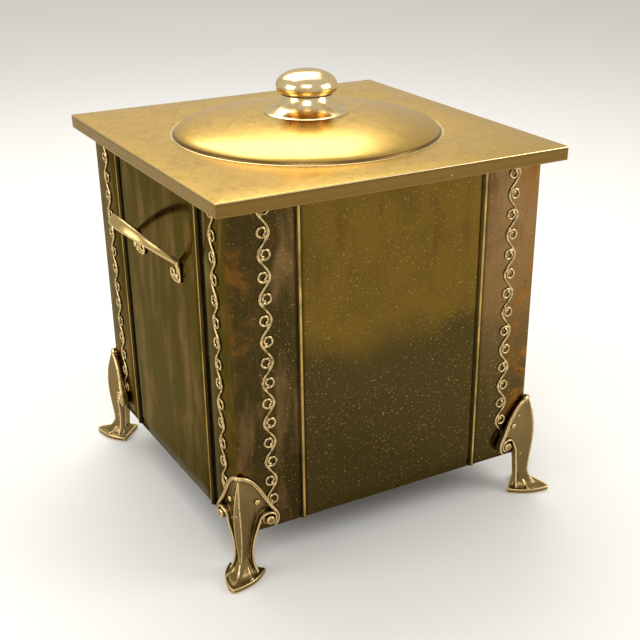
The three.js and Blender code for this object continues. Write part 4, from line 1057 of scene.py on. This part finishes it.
class COALBOX_OT_feet(Operator):
    """Casts the four bracket feet"""
    bl_idname = "coal_box.feet"
    bl_label = "Feet"

    def execute(self, context):
        feet = context.scene.coal_box_feet
        bottom = BODY_BOTTOM / MM
        eye = (feet.eye_inset / MM, bottom + feet.eye_rise / MM)
        radius = feet.volute_radius / MM
        arch_top = bottom + feet.arch_rise / MM
        bm = bmesh.new()
        add_strap(bm, eye, arch_top)
        add_ridge_and_roll(bm, eye, radius)
        add_web(bm, eye, arch_top)
        add_leaf_and_leg(bm, arch_top)
        add_pad(bm)
        material = cast_finish(context)
        cut = bmesh.new()
        body = context.scene.coal_box_body
        corner = square_loop(HALF + FACE_GAP, body.corner_radius + FACE_GAP, 1, 8)
        add_loft(cut, [[(x + HALF, y + HALF, z) for x, y in corner]
                       for z in (BODY_BOTTOM - FACE_GAP, BODY_TOP)])
        cutter = finished("corner_cutter", cut, material)
        mesh = cast_in_one("foot", bm, material, feet.grain, cutter)
        for name, sx, sy, turn in CORNERS:
            copy = mesh.copy()
            copy.transform(Matrix.Translation((sx * HALF, sy * HALF, 0))
                           @ Matrix.Rotation(turn, 4, 'Z'))
            piece = shaded("foot_casting_" + name, copy, material, 75)
            settle(piece, "box", "cast_brass", "foot_" + name)
        return {'FINISHED'}


# ---------------------------------------------------------------- handles

class COALBOX_OT_handles(Operator):
    """Casts the two bow handles with their lugs and curls"""
    bl_idname = "coal_box.handles"
    bl_label = "Handles"

    def execute(self, context):
        handles = context.scene.coal_box_handles
        spring = BODY_TOP - handles.drop
        out = Vector((math.cos(handles.slope), 0, math.sin(handles.slope)))
        across = Vector((-math.sin(handles.slope), 0, math.cos(handles.slope)))
        half_span = handles.span / 2
        # the bow is half an ellipse in its slope's plane, widest at the grip
        steps, round_steps = 72, 20
        bm = bmesh.new()
        rings = []
        for i in range(steps + 1):
            angle = math.pi * i / steps
            middle = out * math.sin(angle) * handles.reach
            middle.y = -math.cos(angle) * half_span
            inward = Vector((0, math.cos(angle), 0)) - out * math.sin(angle)
            width = lerp(handles.end_width, handles.grip_width, math.sin(angle) ** 2.4)
            ring = []
            for k in range(round_steps):
                turn = 2 * math.pi * k / round_steps
                c, s = math.cos(turn), math.sin(turn)
                crown = 0.5 if s > 0 else 0.42
                ring.append(middle + across * width / 2 * math.copysign(abs(c) ** 0.85, c)
                            - inward * handles.thickness * crown * s)
            rings.append(ring)
        add_loft(bm, rings)
        for end in (-1, 1):
            self.add_lug(bm, end, half_span, handles)
        cut = bmesh.new()
        block = 0.3
        bmesh.ops.create_cube(cut, size=block,
                              matrix=Matrix.Translation((FACE_GAP - block / 2, 0, 0)))
        material = handled_and_lit_finish(context)
        cutter = finished("panel_cutter", cut, material)
        mesh = cast_in_one("handle", bm, material, handles.grain, cutter)
        for name, sx, turn in SIDES:
            copy = mesh.copy()
            copy.transform(Matrix.Translation((sx * HALF, 0, spring))
                           @ Matrix.Rotation(turn, 4, 'Z'))
            piece = shaded("handle_casting_" + name, copy, material, 75)
            settle(piece, "box", "cast_brass", "handle_" + name)
        return {'FINISHED'}

    @staticmethod
    def add_lug(bm, end, half_span, handles):
        """A tapered lug down the panel and a small curl beside it."""
        drop = handles.lug_length
        run = smooth_run([
            (2.9, 2.5, 5.6, 4.6), (2.5, -1.5, 6.4, 4.2), (1.8, -5, 7.2, 3.4),
            (1.6, 0.6 - drop * 0.62 / MM, 7.6, 3.0), (1.6, 4 - drop / MM, 7.2, 2.9),
            (1.6, 1.4 - drop / MM, 5.4, 2.7), (1.6, -drop / MM, 2.6, 2.2)], 5)
        add_band(bm, [Vector((x * MM, end * half_span, z * MM)) for x, z, _, _ in run],
                 [(1, 0, 0)] * len(run), [w * MM for _, _, w, _ in run],
                 [d * MM for *_, d in run], 2.6, 16)
        radius, inset = handles.curl_radius, handles.curl_inset
        middle = radius * 1.18 - drop
        curl = [(0.8 * MM, middle - radius * 0.62), (4 * MM, middle - radius * 1.1),
                (inset - 4 * MM, middle - radius * 1.16)]
        for k in range(15):
            angle = math.radians(-70 + 28 * k)
            reach = radius * (1.04 - 0.042 * k)
            curl.append((inset + reach * math.cos(angle), middle + reach * math.sin(angle)))
        curl = smooth_run(curl, 3)
        depth = [lerp(2.6, 3.3, k / len(curl)) * MM for k in range(len(curl))]
        add_band(bm, [Vector((lerp(1.4, 1.7, k / len(curl)) * MM, end * (half_span - v), z))
                      for k, (v, z) in enumerate(curl)],
                 [(1, 0, 0)] * len(curl), [2.5 * MM] * len(curl), depth, 2.2, 10)


# ---------------------------------------------------------------- rivets

class COALBOX_OT_rivets(Operator):
    """Sets the domed rivets of the feet and the handles"""
    bl_idname = "coal_box.rivets"
    bl_label = "Rivets"

    def execute(self, context):
        material = cast_finish(context)
        shank, dome = 1.5 * MM, 1.6 * MM
        for node in sorted(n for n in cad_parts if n.startswith("rivet_")):
            low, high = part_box(node)
            middle = (low + high) / 2
            on_side = abs(middle.x) > abs(middle.y)
            k = 0 if on_side else 1
            outward = math.copysign(1, middle[k])
            tip = max(abs(low[k]), abs(high[k])) - HALF
            radius = (high.z - low.z) / 2 * 1.08
            profile = [(0, -2.4 * MM), (radius * 0.55, -2.3 * MM), (radius * 0.86, -1.3 * MM),
                       (shank, -1.3 * MM), (shank, tip - dome - 0.5 * MM),
                       (radius, tip - dome - 0.5 * MM), (radius, tip - dome)]
            for step in range(1, 8):
                angle = step / 8 * math.pi / 2
                profile.append((radius * math.cos(angle), tip - dome + dome * math.sin(angle)))
            profile.append((0, tip))
            if on_side:
                place = Matrix.Rotation(outward * math.pi / 2, 4, 'Y')
            else:
                place = Matrix.Rotation(-outward * math.pi / 2, 4, 'X')
            middle[k] = outward * HALF
            place.translation = middle
            bm = bmesh.new()
            add_revolve(bm, profile, 24, place)
            piece = finished("domed_" + node, bm, material)
            settle(piece, "box", "cast_brass", node)
        return {'FINISHED'}


# ---------------------------------------------------------------- running scrolls

def scroll_mesh(scrolls, first):
    """An upright strip about x = 0 on the plane y = 0, out along -Y, its first curl at first."""
    low = BODY_BOTTOM + scrolls.lowest_curl + scrolls.stem_start
    high = BODY_TOP - scrolls.head_gap
    middle_width = scrolls.line_width
    sunk = 0.15 * MM
    bm = bmesh.new()

    def add_line(points, widths, reliefs):
        """A rounded line through points of the strip's plane, its back let into the panel."""
        rings = []
        for i, (x, z) in enumerate(points):
            ax, az = points[max(i - 1, 0)]
            bx, bz = points[min(i + 1, len(points) - 1)]
            size = math.hypot(bx - ax, bz - az)
            nx, nz = (bz - az) / size * widths[i] / 2, (ax - bx) / size * widths[i] / 2
            ring = [(x - nx, sunk, z - nz), (x + nx, sunk, z + nz)]
            for t in (0.94, 0.72, 0.38, 0, -0.38, -0.72, -0.94):
                ring.append((x + nx * t, -reliefs[i] * math.sqrt(1 - t * t * 0.98), z + nz * t))
            rings.append(ring)
        add_loft(bm, rings)

    def stem_x(z):
        return -scrolls.sway * math.cos(math.pi * (z - first) / scrolls.pitch)

    count = int((high - low) / scrolls.pitch * 16)
    heights = [lerp(low, high, k / count) for k in range(count + 1)]
    stem = [(stem_x(z), z) for z in heights]
    swell = [middle_width * (0.72 + 0.38 * abs(math.cos(math.pi * (z - first) / scrolls.pitch)))
             for z in heights]
    add_line(stem, swell, [scrolls.relief] * len(stem))
    # each curl springs from the stem and winds in, on alternate sides
    curls = int((high - first - scrolls.curl_radius) / scrolls.pitch) + 1
    start, sweep, steps = math.radians(-40), math.radians(400), 44
    for k in range(curls):
        side = -1 if k % 2 == 0 else 1
        cx, cz = -side * scrolls.curl_offset, first + k * scrolls.pitch
        root = max(cz - scrolls.pitch * 0.38, low)
        points = [(stem_x(root), root)]
        for i in range(steps + 1):
            share = i / steps
            angle = start - share * sweep
            reach = lerp(scrolls.curl_radius, scrolls.curl_radius * 0.45, share ** 2.8)
            points.append((cx + side * math.cos(angle) * reach, cz + math.sin(angle) * reach))
        widths = [middle_width * lerp(0.92, 0.8, i / len(points)) for i in range(len(points))]
        reliefs = [scrolls.relief * lerp(0.86, 0.98, i / len(points)) for i in range(len(points))]
        add_line(points, widths, reliefs)
    return bm


class COALBOX_OT_scrolls(Operator):
    """Lays the running scroll strips down both edges of every face"""
    bl_idname = "coal_box.scrolls"
    bl_label = "Scroll strips"

    def execute(self, context):
        scrolls = context.scene.coal_box_scrolls
        material = stamped_finish(context)
        place_x = (STRIP_LOW.x + STRIP_HIGH.x) / 2
        lowest = BODY_BOTTOM + scrolls.lowest_curl
        middle = (lowest + scrolls.stem_start + BODY_TOP - scrolls.head_gap) / 2
        for face, turn in FACES:
            for edge in "ab":
                upright = Matrix.Translation((place_x, -HALF, 0))
                first = lowest
                if edge == "b":
                    first = lowest + scrolls.turned_start
                    upright = (Matrix.Translation((-place_x, -HALF, middle))
                               @ Matrix.Rotation(math.pi, 4, 'Y')
                               @ Matrix.Translation((0, 0, -middle)))
                bm = scroll_mesh(scrolls, first)
                bm.transform(Matrix.Rotation(turn, 4, 'Z') @ upright)
                piece = finished(f"stamped_scroll_{face}_{edge}", bm, material, 60)
                settle(piece, "box", "stamped_brass", f"scroll_{face}_{edge}")
        return {'FINISHED'}


# ---------------------------------------------------------------- inner pieces

def finish_node(node, material):
    """Gives one of the frame's own pieces its material and leaves its shape alone."""
    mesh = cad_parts[node].data
    mesh.materials.clear()
    mesh.materials.append(material)


class COALBOX_OT_liner(Operator):
    """Blacks the removable steel liner"""
    bl_idname = "coal_box.liner"
    bl_label = "Liner"

    def execute(self, context):
        name, finish = "blacked mild steel sheet", context.scene.coal_box_finish
        finish_node("liner", material_named(name, inner_steel, name, finish.blacked,
                                            finish.blacked_worn, 0.62, 0.15))
        return {'FINISHED'}


class COALBOX_OT_base_tray(Operator):
    """Finishes the tray soldered inside the foot of the body"""
    bl_idname = "coal_box.base_tray"
    bl_label = "Base tray"

    def execute(self, context):
        finish_node("base_tray", panels_finish(context))
        return {'FINISHED'}


class COALBOX_OT_lid_hoop(Operator):
    """Finishes the hoop under the lid"""
    bl_idname = "coal_box.lid_hoop"
    bl_label = "Lid hoop"

    def execute(self, context):
        finish_node("lid_hoop", lid_finish(context))
        return {'FINISHED'}


class COALBOX_OT_knob_fixing(Operator):
    """Plates the stud, washer and nut that hold the knob"""
    bl_idname = "coal_box.knob_fixing"
    bl_label = "Knob fixing"

    def execute(self, context):
        name, finish = "zinc-plated mild steel", context.scene.coal_box_finish
        steel = material_named(name, inner_steel, name, finish.plated,
                               finish.plated_light, 0.38, 0.0)
        for node in ("knob_stud", "knob_washer", "knob_nut"):
            finish_node(node, steel)
        return {'FINISHED'}


# ---------------------------------------------------------------- stage

def aimed(name, data, place, target):
    """A light or camera at a place, facing a target."""
    piece = bpy.data.objects.new(name, data)
    piece.location = place
    piece.rotation_euler = (Vector(target) - Vector(place)).to_track_quat('-Z', 'Y').to_euler()
    bpy.context.scene.collection.objects.link(piece)
    return piece


class COALBOX_OT_stage(Operator):
    """Sets the pale floor, the soft lights and the camera"""
    bl_idname = "coal_box.stage"
    bl_label = "Stage"

    def execute(self, context):
        scene = context.scene
        stage = scene.coal_box_stage
        scene.view_settings.view_transform = 'Standard'

        # studio paper: a matt, even, pale surface
        material, add = new_material("matt studio paper")
        add('ShaderNodeOutputMaterial',
            {"Surface": add('ShaderNodeBsdfDiffuse', {"Color": stage.floor})})
        bm = bmesh.new()
        bmesh.ops.create_grid(bm, x_segments=1, y_segments=1, size=FLOOR_REACH)
        floor = finished("floor", bm, material)
        floor.location.z = -FLOOR_GAP

        world = bpy.data.worlds.new("soft studio")
        scene.world = world
        world.use_nodes = True
        world.node_tree.nodes.clear()
        sky = add_node(world.node_tree, 'ShaderNodeBackground', {
            "Color": stage.backdrop, "Strength": stage.backdrop_strength})
        add_node(world.node_tree, 'ShaderNodeOutputWorld', {"Surface": sky})

        for name, place, target, side, power in SOFT_LIGHTS:
            lamp = bpy.data.lights.new(name, 'AREA')
            lamp.energy = getattr(stage, power)
            lamp.size = side
            aimed(name, lamp, place, target)

        camera = bpy.data.cameras.new("camera")
        camera.sensor_width = SENSOR_WIDTH
        camera.lens = stage.lens
        camera.shift_x, camera.shift_y = stage.shift
        place = Vector(stage.camera_place)
        scene.camera = aimed("camera", camera, place, place + Vector(stage.camera_aim))
        return {'FINISHED'}


# ---------------------------------------------------------------- panel and registration

class COALBOX_PT_pieces(Panel):
    """Lists the pieces of the coal box"""
    bl_idname = "COALBOX_PT_pieces"
    bl_label = "Coal Box"
    bl_space_type = 'VIEW_3D'
    bl_region_type = 'UI'
    bl_category = "Coal Box"

    def draw(self, context):
        layout = self.layout
        for operator in OPERATORS:
            layout.operator(operator.bl_idname, text=operator.bl_label)
        for name, group in SETTINGS.items():
            box = layout.box()
            settings = getattr(context.scene, name)
            for field in group.__annotations__:
                box.prop(settings, field)


OPERATORS = (
    COALBOX_OT_stage, COALBOX_OT_body, COALBOX_OT_lid, COALBOX_OT_knob, COALBOX_OT_feet,
    COALBOX_OT_handles, COALBOX_OT_rivets, COALBOX_OT_scrolls, COALBOX_OT_liner,
    COALBOX_OT_base_tray, COALBOX_OT_lid_hoop, COALBOX_OT_knob_fixing,
)


def register():
    for cls in (*SETTINGS.values(), *OPERATORS, COALBOX_PT_pieces):
        bpy.utils.register_class(cls)
    for name, group in SETTINGS.items():
        setattr(bpy.types.Scene, name, PointerProperty(type=group))


def unregister():
    for name in SETTINGS:
        delattr(bpy.types.Scene, name)
    for cls in reversed((*SETTINGS.values(), *OPERATORS, COALBOX_PT_pieces)):
        bpy.utils.unregister_class(cls)


def main():
    register()
    bpy.ops.coal_box.stage()
    bpy.ops.coal_box.body()
    bpy.ops.coal_box.lid()
    bpy.ops.coal_box.knob()
    bpy.ops.coal_box.feet()
    bpy.ops.coal_box.handles()
    bpy.ops.coal_box.rivets()
    bpy.ops.coal_box.scrolls()
    bpy.ops.coal_box.liner()
    bpy.ops.coal_box.base_tray()
    bpy.ops.coal_box.lid_hoop()
    bpy.ops.coal_box.knob_fixing()


if __name__ == "__main__":
    main()
